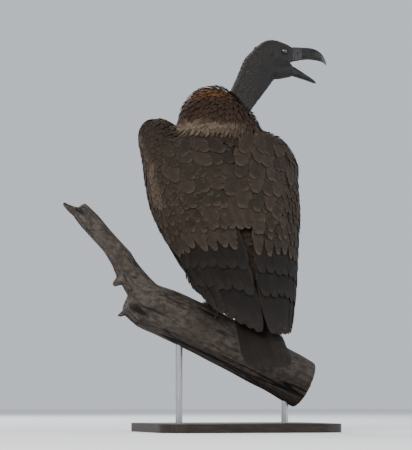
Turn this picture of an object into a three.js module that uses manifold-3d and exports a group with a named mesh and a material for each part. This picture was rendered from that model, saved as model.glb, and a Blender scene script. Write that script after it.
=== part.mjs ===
// A life-size white-backed vulture standing on a cut length of dead branch, on a plain display stand.
// It is built for viewing from all sides: it looks back over its right shoulder with its bill open.
//
// Millimetres, +Z up. The origin is the middle of the stand's underside. The bird faces -Y, so its left
// is +X. Inside the bird group the origin is the point between its feet, on the top of the branch.

import * as THREE from "three";
import { mergeVertices } from "three/addons/utils/BufferGeometryUtils.js";
import Module from "manifold-3d";

const wasm = await Module();
wasm.setup();

// ---------------------------------------------------------------- driving dimensions

const GAP = 0.35; // clearance between pieces that touch
const PERCH_HEIGHT = 262; // the point between the feet, above the floor
const BIRD_SHIFT_Y = -22; // brings the bird's weight over the middle of the stand

const BRANCH_RADIUS = 57;
const BRANCH_SLOPE = 26; // degrees, down towards the bird's right
const BRANCH_RIGHT_END = -225; // measured along the branch from the feet
const BRANCH_LEFT_END = 242;

const BASE_SIZE = { x: 430, y: 360, z: 20, corner: 60 };
const ROD_RADIUS = 8;
const ROD_X = 128;

const TAIL_FEATHERS = 12;
const WING_TIP_FEATHERS = 6;

// ---------------------------------------------------------------- small helpers

const V = (x, y, z) => new THREE.Vector3(x, y, z);
const rad = THREE.MathUtils.degToRad;
const lerp = THREE.MathUtils.lerp;
const clamp = THREE.MathUtils.clamp;

// A smooth curve of numbers through keys [[at, value, value...], ...], by Catmull-Rom between the keys.
function track(keys) {
  return (at) => {
    const last = keys.length - 1;
    let i = 0;
    while (i < last - 1 && at > keys[i + 1][0]) i++;
    const [p0, p1] = [keys[i], keys[i + 1]];
    const before = keys[Math.max(i - 1, 0)];
    const after = keys[Math.min(i + 2, last)];
    const span = p1[0] - p0[0];
    const t = clamp((at - p0[0]) / span, 0, 1);
    return p0.slice(1).map((value, n) => {
      const k = n + 1;
      const slopeIn = i === 0 ? (p1[k] - p0[k]) / span : (p1[k] - before[k]) / (p1[0] - before[0]);
      const slopeOut = i === last - 1 ? (p1[k] - p0[k]) / span : (after[k] - p0[k]) / (after[0] - p0[0]);
      const t2 = t * t;
      const t3 = t2 * t;
      return (
        (2 * t3 - 3 * t2 + 1) * value +
        (t3 - 2 * t2 + t) * span * slopeIn +
        (3 * t2 - 2 * t3) * p1[k] +
        (t3 - t2) * span * slopeOut
      );
    });
  };
}

// A closed geometry from points and triangles, turned so that its faces point out.
function closed(points, faces) {
  const volume = faces.reduce((sum, [a, b, c]) => {
    const cross = new THREE.Vector3().crossVectors(points[b], points[c]);
    return sum + points[a].dot(cross);
  }, 0);
  const order = volume < 0 ? faces.map(([a, b, c]) => [a, c, b]) : faces;
  const geometry = new THREE.BufferGeometry().setFromPoints(points);
  geometry.setIndex(order.flat());
  return geometry;
}

// Joins rings of points, one after another, and closes each end with a fan round a middle point.
function skinned(rings, startPoint, endPoint) {
  const around = rings[0].length;
  const points = rings.flat();
  const faces = [];
  for (let i = 0; i < rings.length - 1; i++) {
    for (let j = 0; j < around; j++) {
      const a = i * around + j;
      const b = i * around + ((j + 1) % around);
      faces.push([a, b, b + around], [a, b + around, a + around]);
    }
  }
  const start = points.push(startPoint) - 1;
  const end = points.push(endPoint) - 1;
  const lastRing = (rings.length - 1) * around;
  for (let j = 0; j < around; j++) {
    const next = (j + 1) % around;
    faces.push([start, next, j], [end, lastRing + j, lastRing + next]);
  }
  return closed(points, faces);
}

// A rounded body along a line of stations: centre, side and up directions, half-width above and below,
// and depth above and below the centre. swell makes it bigger all round.
function loft(stations, around, swell = 0) {
  const ahead = (i, next) => stations[i].centre.clone().sub(stations[next].centre).setLength(swell + 0.01);
  const last = stations.length - 1;
  const shifts = stations.map(() => V(0, 0, 0));
  shifts[0] = ahead(0, 1);
  shifts[last] = ahead(last, last - 1);
  const rings = stations.map(({ centre, side, up, wide, wideBelow = wide, above, below }, i) =>
    Array.from({ length: around }, (_, j) => {
      const angle = (2 * Math.PI * j) / around;
      const depth = Math.cos(angle) >= 0 ? above : below;
      const width = lerp(wideBelow, wide, THREE.MathUtils.smoothstep(Math.cos(angle), -0.35, 0.2));
      return centre
        .clone()
        .add(shifts[i])
        .addScaledVector(side, (width + swell) * Math.sin(angle))
        .addScaledVector(up, (depth + swell) * Math.cos(angle));
    }),
  );
  const cap = (i) => stations[i].centre.clone().addScaledVector(shifts[i], 1.01);
  return skinned(rings, cap(0), cap(last));
}

// Stations along a path, at equal steps of its keys' first number. side points roughly to sideHint.
function stationsOf(line, from, to, count, sideHint) {
  const step = (to - from) / 400;
  return Array.from({ length: count }, (_, i) => {
    const at = lerp(from, to, i / (count - 1));
    const [x, y, z, wide, above, below = above] = line(at);
    const ahead = V(...line(Math.min(at + step, to)).slice(0, 3));
    const along = ahead.sub(V(...line(Math.max(at - step, from)).slice(0, 3))).normalize();
    const side = sideHint.clone().addScaledVector(along, -sideHint.dot(along)).normalize();
    const up = new THREE.Vector3().crossVectors(along, side);
    return { at, centre: V(x, y, z), along, side, up, wide, above, below };
  });
}

// A slab between an outer and an inner surface, both given for u and v from 0 to 1.
function slab(stepsU, stepsV, outer, inner) {
  const points = [];
  const row = stepsV + 1;
  const layer = (stepsU + 1) * row;
  for (const surface of [outer, inner]) {
    for (let i = 0; i <= stepsU; i++) {
      for (let j = 0; j <= stepsV; j++) points.push(surface(i / stepsU, j / stepsV));
    }
  }
  const faces = [];
  for (let i = 0; i < stepsU; i++) {
    for (let j = 0; j < stepsV; j++) {
      const a = i * row + j;
      faces.push([a, a + 1, a + row + 1], [a, a + row + 1, a + row]);
      const b = a + layer;
      faces.push([b, b + row + 1, b + 1], [b, b + row, b + row + 1]);
    }
  }
  const wall = (a, b) => faces.push([a, a + layer, b + layer], [a, b + layer, b]);
  const wallBack = (a, b) => faces.push([a, a + layer, b], [b, a + layer, b + layer]);
  for (let j = 0; j < stepsV; j++) {
    wall(j, j + 1);
    wallBack(stepsU * row + j + 1, stepsU * row + j);
  }
  for (let i = 0; i < stepsU; i++) {
    wall((i + 1) * row, i * row);
    wall(i * row + stepsV, (i + 1) * row + stepsV);
  }
  return closed(points, faces);
}

function solid(geometry) {
  const bare = geometry.clone();
  bare.deleteAttribute("normal");
  bare.deleteAttribute("uv");
  const merged = mergeVertices(bare, 1e-3);
  return new wasm.Manifold(
    new wasm.Mesh({
      numProp: 3,
      vertProperties: merged.attributes.position.array,
      triVerts: new Uint32Array(merged.index.array),
    }),
  );
}

function cut(geometry, ...tools) {
  return tools.reduce((left, tool) => left.subtract(solid(tool)), solid(geometry));
}

function geometryOf(body) {
  const mesh = body.simplify(0.15).getMesh();
  const positions = new Float32Array(mesh.numVert * 3);
  for (let i = 0; i < mesh.numVert; i++) {
    positions.set(mesh.vertProperties.subarray(i * mesh.numProp, i * mesh.numProp + 3), i * 3);
  }
  const geometry = new THREE.BufferGeometry();
  geometry.setAttribute("position", new THREE.BufferAttribute(positions, 3));
  geometry.setIndex(new THREE.BufferAttribute(mesh.triVerts, 1));
  return geometry;
}

// The largest body of a solid, for a cut that may leave a sliver beside it.
function mainBody(body) {
  return body.decompose().reduce((a, b) => (a.volume() > b.volume() ? a : b));
}

// A block that covers everything on one side of a plane, for parting two pieces.
function halfSpace(point, normal) {
  const reach = 700;
  const block = new THREE.BoxGeometry(reach, reach, reach);
  block.translate(0, 0, reach / 2);
  block.applyQuaternion(new THREE.Quaternion().setFromUnitVectors(V(0, 0, 1), normal.clone().normalize()));
  return block.translate(point.x, point.y, point.z);
}

// ---------------------------------------------------------------- body line and its cloak of feathers

// Place along the body, from the base of the neck (0) to the wing tips (1): y, z, half-width of the
// closed wings, depth of the back and depth of the belly.
const bodyLine = track([
  [0.0, -94, 462, 146, 52, 44],
  [0.1, -96, 420, 181, 86, 74],
  [0.26, -80, 338, 189, 108, 90],
  [0.44, -38, 246, 182, 110, 94],
  [0.62, 33, 152, 152, 88, 80],
  [0.78, 112, 71, 119, 58, 50],
  [0.92, 194, -2, 82, 32, 30],
  [1.0, 250, -54, 54, 17, 20],
]);
const wingThickness = track([
  [0.0, 42],
  [0.2, 56],
  [0.42, 54],
  [0.62, 34],
  [0.8, 16],
  [1.0, 7],
]);

// Centre and directions of the body's cross-section at a place along it.
function bodySection(at) {
  const [y, z, wide, back, belly] = bodyLine(at);
  const step = 0.01;
  const [y0, z0] = bodyLine(Math.max(at - step, 0));
  const [y1, z1] = bodyLine(Math.min(at + step, 1));
  const along = V(0, y1 - y0, z1 - z0).normalize();
  return { centre: V(0, y, z), along, up: V(0, -along.z, along.y), wide, back, belly };
}

// A point of the cloak: angle 0 is the middle of the back and 90 the flank; depth is measured inwards.
function cloakPoint(at, angle, side, depth) {
  const { centre, up, wide, back } = bodySection(at);
  const width = Math.max(wide - depth, 0.5);
  const height = Math.max(back - depth, 0.5);
  const reach = angle > 90 ? height * 0.55 : height;
  return centre
    .clone()
    .add(V(side * width * Math.sin(rad(angle)), 0, 0))
    .addScaledVector(up, reach * Math.cos(rad(angle)));
}

function trunkGeometry(swell = 0) {
  const stations = [0, 0.02, 0.06, 0.13, 0.25, 0.38, 0.52, 0.66, 0.77, 0.86].map((at) => {
    const { centre, up, wide, back, belly } = bodySection(at);
    const [thick] = wingThickness(at);
    const top = Math.sqrt(1 - (1 - clamp((at + 0.006) / 0.15, 0, 1)) ** 2);
    const shrink = top * Math.sqrt(clamp((0.9 - at) / 0.14, 0.3, 1));
    return {
      centre,
      side: V(1, 0, 0),
      up,
      wide: (wide - 0.32 * thick) * shrink,
      wideBelow: (wide - thick - 7) * shrink,
      above: (back - lerp(6, 15, THREE.MathUtils.smoothstep(at, 0.2, 0.7))) * shrink,
      below: belly * shrink,
    };
  });
  return loft(stations, 18, swell);
}

// A closed wing: side is +1 for the left one. start is where its wrist begins along the body line, and
// raise lifts its inner and outer edge there, and outset pushes them out, both fading away down the wing.
// spread moves the tip out, and taper is how much shorter the outermost feathers fall. from and to say
// which share of the wing's length to make.
function wingGeometry({ side, start, raise, outset, spread, taper }, from, to, steps, swell = 0) {
  const roundTop = 0.2;
  const innerEdge = track([[0, 46], [0.15, 36], [0.4, 18], [0.6, 8], [0.8, 3], [1, 2]]);
  const outerEdge = track([[0, 122], [0.2, 124], [0.45, 116], [0.65, 108], [0.85, 103], [1, 96]]);
  // The folded feathers end one after another: the innermost reach furthest.
  const end = (v) => 0.982 - taper * clamp(v, 0, 1) ** 1.4;
  const scallop = (v) => {
    const place = clamp(v, 0, 0.999) * WING_TIP_FEATHERS;
    return 0.022 * (1 - (2 * (place - Math.floor(place)) - 1) ** 2);
  };
  const where = (u, v) => {
    const at = start + (end(v) - start) * u + scallop(v) * clamp(u, 0, 1) ** 12;
    const place = (at - start) / (1 - start);
    return { at, angle: lerp(innerEdge(place)[0], outerEdge(place)[0], v) };
  };
  const rounding = (u) => Math.sqrt(1 - (1 - clamp(u / roundTop, 0, 1)) ** 2);
  const wrist = (u, v) => 9 * Math.exp(-(((u - 0.16) / 0.08) ** 2) - ((v - 0.62) / 0.25) ** 2);
  const outerDepth = (u, v, at) => wingThickness(at)[0] * (1 - rounding(u)) - wrist(u, v);
  const shoulder = (u, v) => {
    const place = clamp(u, 0, 1);
    const across = clamp(v, 0, 1);
    const out = outset * Math.sin(rad(90 * across)) * Math.exp(-((place / 0.5) ** 2));
    const lift = lerp(raise[0], raise[1] * rounding(place), THREE.MathUtils.smoothstep(across, 0.1, 0.75));
    return V(side * (out + spread * place ** 3), 0, lift * Math.exp(-((place / 0.3) ** 2)));
  };
  const outer = (u, v) => {
    const { at, angle } = where(u, v);
    return cloakPoint(at, angle, side, outerDepth(u, v, at) - swell).add(shoulder(u, v));
  };
  const inner = (u, v) => {
    const { at, angle } = where(u, v);
    const front = Math.sqrt(clamp(1 - ((v - 0.6) / 0.4) ** 2, 0, 1));
    const edge = v > 0.6 ? front : lerp(0.25, 1, THREE.MathUtils.smoothstep(v, 0, 0.35));
    const thick = Math.max(wingThickness(at)[0] * rounding(u) * edge, 2.5);
    return cloakPoint(at, angle, side, outerDepth(u, v, at) + thick + swell).add(shoulder(u, v));
  };
  // Swollen, the slab's edges also reach out a little past the wing's own.
  const past = (value, reach) => (value === 0 ? -reach : value === 1 ? reach : 0);
  // Stations crowd at the shoulder, where the wing turns over.
  const shareU = (u) => lerp(from, to, from === 0 ? u ** 1.4 : u) + past(u, 0.003 * swell);
  const shareV = (v) => v + past(v, 0.008 * swell);
  return slab(
    steps,
    12,
    (u, v) => outer(shareU(u), shareV(v)),
    (u, v) => inner(shareU(u), shareV(v)),
  );
}

// ---------------------------------------------------------------- ruff, neck and head

// The ruff and crop: a dome of long feathers round the base of the neck.
const ruffLine = track([
  [0, 0, -92, 425, 108, 64, 54],
  [0.3, 8, -98, 468, 101, 74, 68],
  [0.55, 9, -104, 502, 87, 68, 66],
  [0.8, 4, -110, 531, 60, 54, 52],
  [0.95, -3, -114, 552, 34, 34, 34],
  [1, -5, -115, 559, 12, 15, 15],
]);
const ruffGeometry = (swell = 0) => loft(stationsOf(ruffLine, 0, 1, 7, V(1, 0, 0)), 16, swell);

const neckLine = track([
  [0, -22, -104, 480, 38, 38],
  [0.3, -50, -114, 518, 35, 35],
  [0.55, -75, -118, 555, 35, 38],
  [0.8, -101, -114, 603, 35, 45],
  [1, -125, -108, 635, 29, 41],
]);
const neckGeometry = (swell = 0) => loft(stationsOf(neckLine, 0, 1, 6, V(0, -1, 0)), 14, swell);

// The head has its own frame: +Z along the bill, +Y up through the crown, +X to one side.
const HEAD_CENTRE = V(-137, -105, 638);
const BILL_DIRECTION = V(-0.985, 0.12, -0.05).normalize();
const headUp = V(0, 0, 1).addScaledVector(BILL_DIRECTION, -BILL_DIRECTION.z).normalize();
const headSide = new THREE.Vector3().crossVectors(headUp, BILL_DIRECTION);
const headMatrix = new THREE.Matrix4().makeBasis(headSide, headUp, BILL_DIRECTION).setPosition(HEAD_CENTRE);

// Stations along the head's own line: place along the bill, half-width, top and underside.
function headLoft(keys, count, around, swell = 0) {
  const line = track(keys);
  const [from, to] = [keys[0][0], keys[keys.length - 1][0]];
  const stations = Array.from({ length: count }, (_, i) => {
    const at = lerp(from, to, i / (count - 1));
    const [wide, top, bottom] = line(at);
    const middle = (top + bottom) / 2;
    const half = (top - bottom) / 2;
    return { centre: V(0, middle, at), side: V(1, 0, 0), up: V(0, 1, 0), wide, above: half, below: half };
  });
  return loft(stations, around, swell);
}

const GAPE_AT = 33;
const GAPE_HEIGHT = -16;
const JAW_DROP = 18; // degrees
const FACE_END = 45; // the bill starts here
const CERE_END = 64;

const skullKeys = [
  [-50, 10, 12, -20],
  [-40, 21, 24, -32],
  [-22, 27, 34, -40],
  [0, 29, 37, -42],
  [22, 26, 31, -38],
  [FACE_END, 19, 23, -33],
];
const chinKeys = [
  [-34, 12, -18, -44],
  [-20, 19, -12, -53],
  [0, 21, -10, -60],
  [22, 18, -14, -57],
  [FACE_END, 13, -23, -50],
];
const billKeys = [
  [FACE_END + GAP, 14.5, 21.5, -11],
  [CERE_END, 13, 22.5, -7],
  [86, 10.5, 23, -4],
  [104, 8.5, 19, -5],
  [118, 6, 9, -8],
  [126, 3.2, -4, -13.5],
  [129, 0.8, -13, -16.5],
];
const jawKeys = [
  [0, 13, 10, -11],
  [22, 12, 6, -9],
  [44, 9.5, 2, -7.5],
  [58, 6, -1, -7],
  [64, 1.2, -3.5, -5.5],
];
const tongueKeys = [
  [0, 5, 3, -3],
  [10, 6.5, 3, -3],
  [34, 6, 2.2, -2.6],
  [46, 4.4, 1.8, -1.8],
  [51, 1.5, 0.8, -0.8],
];

// A wedge that opens the mouth, from the corner of the gape forwards, between the palate and the jaw.
function mouthWedge() {
  const reach = 120;
  const wedge = new THREE.Shape();
  wedge.moveTo(0, 0);
  wedge.lineTo(reach, reach * Math.tan(rad(8)));
  wedge.lineTo(reach, -reach * Math.tan(rad(JAW_DROP + 14)));
  wedge.closePath();
  const block = new THREE.ExtrudeGeometry(wedge, { depth: 90, bevelEnabled: false });
  // The shape's x runs along the bill, its y up, and its depth across the head.
  block.translate(0, 0, -45).rotateY(-Math.PI / 2);
  return block.translate(0, GAPE_HEIGHT, GAPE_AT);
}

const EYE = { along: 20, up: 8, out: 17.5, radius: 9 };
function eyeGeometry(side, swell = 0) {
  const eye = new THREE.SphereGeometry(EYE.radius + swell, 11, 7);
  return eye.translate(side * EYE.out, EYE.up, EYE.along);
}

// Places the jaw or the tongue in the head's frame, tipped down by an angle from where it is hinged.
function hinged(geometry, height, along, angle) {
  const hinge = new THREE.Matrix4().makeTranslation(0, height, along);
  return geometry.applyMatrix4(new THREE.Matrix4().makeRotationX(rad(angle)).premultiply(hinge));
}
const jawGeometry = (swell = 0) => hinged(headLoft(jawKeys, 8, 14, swell), -37, FACE_END + 0.8, JAW_DROP);
const tongueGeometry = (swell = 0) => hinged(headLoft(tongueKeys, 6, 10, swell), -22, GAPE_AT - 4, 22);

// ---------------------------------------------------------------- branch

const branchAxis = V(Math.cos(rad(BRANCH_SLOPE)), 0, Math.sin(rad(BRANCH_SLOPE)));
const branchTop = V(-Math.sin(rad(BRANCH_SLOPE)), 0, Math.cos(rad(BRANCH_SLOPE)));
const branchFront = V(0, -1, 0);

// A point above the branch's surface: place along it, angle from its top towards the front, height.
function branchPoint(along, angle, height) {
  const reach = BRANCH_RADIUS + height;
  return branchAxis
    .clone()
    .multiplyScalar(along)
    .addScaledVector(branchTop, reach * Math.cos(angle) - BRANCH_RADIUS)
    .addScaledVector(branchFront, reach * Math.sin(angle));
}

function branchGeometry(swell = 0) {
  const radius = track([
    [BRANCH_RIGHT_END, 58],
    [-150, 57.5],
    [-95, BRANCH_RADIUS],
    [95, BRANCH_RADIUS],
    [165, 56],
    [225, 50],
    [BRANCH_LEFT_END, 38],
  ]);
  const sag = track([[BRANCH_RIGHT_END, -5], [-150, -1], [-95, 0], [95, 0], [BRANCH_LEFT_END, -10]]);
  const stations = Array.from({ length: 12 }, (_, i) => {
    const along = lerp(BRANCH_RIGHT_END, BRANCH_LEFT_END, i / 11);
    const centre = branchAxis.clone().multiplyScalar(along);
    centre.addScaledVector(branchTop, sag(along)[0] - BRANCH_RADIUS);
    const r = radius(along)[0];
    return { centre, side: branchFront, up: branchTop, wide: r, above: r, below: r };
  });
  return loft(stations, 20, swell);
}

// A side twig through points with their radii, from inside the branch outwards.
function twigGeometry(path, around = 7) {
  const keys = path.map(([point, radius], i) => [i / (path.length - 1), ...point.toArray(), radius, radius]);
  return loft(stationsOf(track(keys), 0, 1, Math.round(path.length * 1.5), V(0, 1, 0)), around);
}

function perchSolid() {
  const rising = twigGeometry(
    [
      [V(205, 0, 50), 38],
      [V(242, 1, 94), 31],
      [V(270, 2, 142), 26],
      [V(312, 3, 188), 24],
      [V(352, 2, 232), 23],
      [V(368, 2, 250), 19],
    ],
    12,
  );
  const fork = twigGeometry([[V(356, 2, 236), 14], [V(384, 2, 246), 10], [V(404, 1, 262), 4]]);
  const knob = twigGeometry([[V(250, 3, 98), 14], [V(272, 8, 84), 11], [V(288, 10, 74), 6]]);
  const spurLow = twigGeometry([[V(226, 0, 24), 17], [V(252, 2, 14), 11], [V(275, 3, 4), 4]]);
  const twigs = [rising, fork, knob, spurLow];
  return twigs.reduce((all, twig) => all.add(solid(twig)), solid(branchGeometry()));
}

// ---------------------------------------------------------------- legs and feet

const FOOT_ALONG = 57; // each foot's place along the branch, from the middle
const footPoint = (side) => branchPoint(side * FOOT_ALONG, 0, 0);

function thighGeometry(side, swell = 0) {
  const foot = footPoint(side);
  const line = track([
    [0, side * 64, -24, 168, 46, 56],
    [0.35, side * 66, -14, 112, 46, 52],
    [0.7, lerp(side * 62, foot.x, 0.5), 4, lerp(108, foot.z + 26, 0.5), 37, 40],
    [0.9, foot.x, 13, foot.z + 40, 25, 27],
    [1, foot.x, 14, foot.z + 27, 18, 19],
  ]);
  return loft(stationsOf(line, 0, 1, 6, V(1, 0, 0)), 12, swell);
}

function shankGeometry(side, swell = 0) {
  const foot = footPoint(side);
  const line = track([
    [0, foot.x, 18, foot.z + 62, 11, 12],
    [0.5, foot.x, 14, foot.z + 38, 9.5, 10.5],
    [1, foot.x, 4, foot.z + 9, 11, 12],
  ]);
  return loft(stationsOf(line, 0, 1, 4, V(1, 0, 0)), 10, swell);
}

const TOE_CLEARANCE = 1.6; // the faceted toes stand clear of the bark by this

// Toes: where each starts and how it splays (degrees; side is outwards), its length and its claw's.
const TOES = [
  { name: "inner", splay: -27, start: 9, length: 62, thick: 8.2, claw: 27 },
  { name: "middle", splay: -2, start: 8, length: 92, thick: 8.4, claw: 25 },
  { name: "outer", splay: 25, start: 9, length: 66, thick: 7.6, claw: 21 },
  { name: "hind", splay: 186, start: 6, length: 36, thick: 8, claw: 26 },
];

// A point on a toe's line: distance from the foot's middle and height above the bark.
function toePoint(side, toe, distance, height) {
  const turn = rad(toe.splay) * side;
  const along = side * FOOT_ALONG + distance * Math.sin(turn);
  return branchPoint(along, (distance * Math.cos(turn)) / (BRANCH_RADIUS + height), height);
}

function toeGeometry(side, toe) {
  const keys = Array.from({ length: 6 }, (_, i) => {
    const share = i / 5;
    const pad = 0.9 * Math.sin(share * Math.PI * 3);
    const thick = lerp(toe.thick, toe.thick * 0.68, share) + pad;
    const along = toe.start + toe.length * share;
    return [share, ...toePoint(side, toe, along, thick + TOE_CLEARANCE).toArray(), thick, thick];
  });
  return loft(stationsOf(track(keys), 0, 1, 5, branchAxis), 7);
}

function clawGeometry(side, toe, swell = 0) {
  const toeEnd = toe.start + toe.length;
  const root = toe.thick * 0.62;
  const keys = [0, 0.35, 0.7, 1].map((share) => {
    const thick = Math.max(root * (1 - share) ** 0.8, 0.5);
    const lift = lerp(root + 1.2, 1, share ** 1.6) + 4.5 * Math.sin(share * Math.PI);
    const distance = toeEnd - 3 + (toe.claw * 0.82 + 3) * share;
    return [share, ...toePoint(side, toe, distance, lift + thick * 0.4).toArray(), thick, thick];
  });
  return loft(stationsOf(track(keys), 0, 1, 5, branchAxis), 5, swell);
}

function footSolid(side) {
  const pad = new THREE.SphereGeometry(1, 10, 6);
  pad.scale(13, 15, 9.5);
  pad.rotateY(-rad(BRANCH_SLOPE));
  const middle = branchPoint(side * FOOT_ALONG, 0, 10.4);
  pad.translate(middle.x, middle.y, middle.z);
  const whole = TOES.reduce((all, toe) => all.add(solid(toeGeometry(side, toe))), solid(pad));
  const clear = [shankGeometry(side, GAP), ...TOES.map((toe) => clawGeometry(side, toe, GAP))];
  return mainBody(clear.reduce((left, tool) => left.subtract(solid(tool)), whole));
}

// ---------------------------------------------------------------- tail

const tailLine = track([
  [0, 96, 80, 40, 20],
  [0.25, 148, 34, 47, 15],
  [0.6, 222, -37, 53, 8],
  [1, 308, -122, 62, 5],
]);

function tailGeometry(swell = 0) {
  const across = TAIL_FEATHERS * 2;
  const surface = (u, v, lift) => {
    const feather = v * TAIL_FEATHERS;
    const within = feather - Math.floor(Math.min(feather, TAIL_FEATHERS - 0.001));
    const fromMiddle = Math.abs(2 * v - 1);
    const end = 1 - 0.1 * fromMiddle ** 3 - 0.035 * (2 * within - 1) ** 2;
    const [y, z, wide, thick] = tailLine(u * end);
    const arch = 9 * (1 - fromMiddle ** 2);
    const edge = Math.sqrt(1 - fromMiddle ** 6);
    const height = arch + lift * (Math.max((thick / 2) * edge, 1) + swell);
    return V((wide + swell) * (2 * v - 1), y, z).addScaledVector(V(0, 0.71, 0.71), height - 9);
  };
  return slab(4, across, (u, v) => surface(u, v, 1), (u, v) => surface(u, v, -1));
}

// ---------------------------------------------------------------- stand

function baseGeometry() {
  const { x, y, z, corner } = BASE_SIZE;
  const outline = new THREE.Shape();
  outline.moveTo(corner - x / 2, -y / 2);
  outline.lineTo(x / 2 - corner, -y / 2);
  outline.absarc(x / 2 - corner, corner - y / 2, corner, -Math.PI / 2, 0);
  outline.absarc(x / 2 - corner, y / 2 - corner, corner, 0, Math.PI / 2);
  outline.absarc(corner - x / 2, y / 2 - corner, corner, Math.PI / 2, Math.PI);
  outline.absarc(corner - x / 2, corner - y / 2, corner, Math.PI, Math.PI * 1.5);
  return new THREE.ExtrudeGeometry(outline, { depth: z, bevelEnabled: false, curveSegments: 5 });
}

function rodSolid(x) {
  const bottom = BASE_SIZE.z + GAP - PERCH_HEIGHT;
  const top = -BRANCH_RADIUS;
  const rod = new THREE.CylinderGeometry(ROD_RADIUS, ROD_RADIUS, top - bottom, 16);
  rod.rotateX(Math.PI / 2).translate(x, 0, (top + bottom) / 2);
  return mainBody(cut(rod, branchGeometry(GAP), halfSpace(branchPoint(x, 0, -BRANCH_RADIUS), branchTop)));
}

// ---------------------------------------------------------------- materials and assembly

const material = (color, roughness, metalness = 0) =>
  new THREE.MeshStandardMaterial({ color, roughness, metalness });

const materials = {
  mantle: material("#4a3a2c", 0.85),
  flight: material("#1d1815", 0.7),
  ruff: material("#8f8271", 0.95),
  skin: material("#37322f", 0.75),
  horn: material("#1a1817", 0.35),
  cere: material("#2b2a2a", 0.55),
  eye: material("#120b07", 0.08),
  tongue: material("#8a4f4a", 0.45),
  leg: material("#2e2b2a", 0.7),
  bark: material("#5c5349", 0.9),
  base: material("#23201e", 0.45),
  steel: material("#8c8c8c", 0.3, 1),
};

const model = new THREE.Group();
const bird = new THREE.Group();
const head = new THREE.Group();
bird.position.set(0, BIRD_SHIFT_Y, PERCH_HEIGHT);
head.applyMatrix4(headMatrix);
bird.add(head);
model.add(bird);

function place(group, name, shape, finish) {
  const geometry = shape.isBufferGeometry ? shape : geometryOf(shape);
  const mesh = new THREE.Mesh(geometry, finish);
  mesh.name = name;
  group.add(mesh);
}

const SIDES = [
  { side: 1, word: "left", start: 0.03, raise: [0, 70], outset: 10, spread: 0, taper: 0.13 },
  { side: -1, word: "right", start: 0.065, raise: [20, -2], outset: -10, spread: 9, taper: 0.02 },
];

// The neck reaches into the head and the ruff, and is cut back to them.
function skullAndChin(swell = 0) {
  const chin = headLoft(chinKeys, 5, 10, swell);
  return solid(headLoft(skullKeys, 8, 14, swell)).add(solid(chin));
}
const headOuter = geometryOf(skullAndChin(GAP)).applyMatrix4(headMatrix);
const COVERTS_END = 0.66; // share of the wing's length after which only flight feathers show
const covertPart = (wing, swell) => wingGeometry(wing, 0, COVERTS_END - 0.001, 7, swell);
const flightPart = (wing, swell) => wingGeometry(wing, COVERTS_END, 1, 4, swell);
const flights = SIDES.map((wing) => flightPart(wing, GAP));
const thighs = SIDES.map(({ side }) => thighGeometry(side, GAP));

const trunk = mainBody(cut(trunkGeometry(), ruffGeometry(2 * GAP), tailGeometry(2 * GAP), ...thighs));
place(bird, "trunk", trunk, materials.mantle);
place(bird, "ruff", mainBody(cut(ruffGeometry(), neckGeometry(GAP))), materials.ruff);
place(bird, "neck", mainBody(cut(neckGeometry(), headOuter)), materials.skin);
place(bird, "tail", mainBody(cut(tailGeometry(), ...flights)), materials.flight);

for (const wing of SIDES) {
  const { side, word } = wing;
  const inside = [trunkGeometry(GAP), ruffGeometry(GAP), thighGeometry(side, GAP)];
  place(bird, `wing_${word}`, mainBody(cut(covertPart(wing), ...inside)), materials.mantle);
  place(bird, `primaries_${word}`, mainBody(cut(flightPart(wing), trunkGeometry(GAP))), materials.flight);
  const shank = shankGeometry(side, GAP);
  place(bird, `thigh_${word}`, mainBody(cut(thighGeometry(side), shank)), materials.mantle);
  place(bird, `shank_${word}`, shankGeometry(side), materials.leg);
  place(bird, `foot_${word}`, footSolid(side), materials.leg);
  for (const toe of TOES) place(bird, `claw_${word}_${toe.name}`, clawGeometry(side, toe), materials.horn);
}

const eyeSockets = SIDES.map(({ side }) => eyeGeometry(side, GAP));
const headTools = [mouthWedge(), jawGeometry(GAP), tongueGeometry(GAP), ...eyeSockets];
const skull = headTools.reduce((left, tool) => left.subtract(solid(tool)), skullAndChin());
place(head, "head", mainBody(skull), materials.skin);
const billAhead = halfSpace(V(0, 0, CERE_END), V(0, 0, 1));
const billBehind = halfSpace(V(0, 0, CERE_END + GAP), V(0, 0, -1));
const upperBill = headLoft(billKeys, 12, 14);
place(head, "cere", mainBody(cut(upperBill, billAhead)), materials.cere);
place(head, "bill_upper", mainBody(cut(upperBill, billBehind)), materials.horn);
place(head, "bill_lower", mainBody(cut(jawGeometry(), tongueGeometry(GAP))), materials.horn);
place(head, "tongue", tongueGeometry(), materials.tongue);
for (const { side, word } of SIDES) place(head, `eye_${word}`, eyeGeometry(side), materials.eye);

const perch = perchSolid();
place(bird, "perch", mainBody(perch), materials.bark);
place(bird, "stand_rod_left", rodSolid(ROD_X), materials.steel);
place(bird, "stand_rod_right", rodSolid(-ROD_X), materials.steel);
place(model, "stand_base", baseGeometry(), materials.base);

export default model;
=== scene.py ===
# %% [markdown]
# # A life-size vulture on a dead branch
#
# This lesson dresses a solid model of a white-backed vulture. The solids give every outline and size.
# Here they get a skin, thousands of feathers, a horn bill, wet eyes, scaly feet and weathered wood.
#
# All shape work is done in millimetres, measured from the point between the bird's feet. One helper
# turns them into Blender's metres when a mesh is made, so every number below can be read as a real size.

# %% Load the frame
import math

import bpy
import numpy as np
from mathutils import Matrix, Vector
from mathutils.bvhtree import BVHTree
from mathutils.kdtree import KDTree


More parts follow.
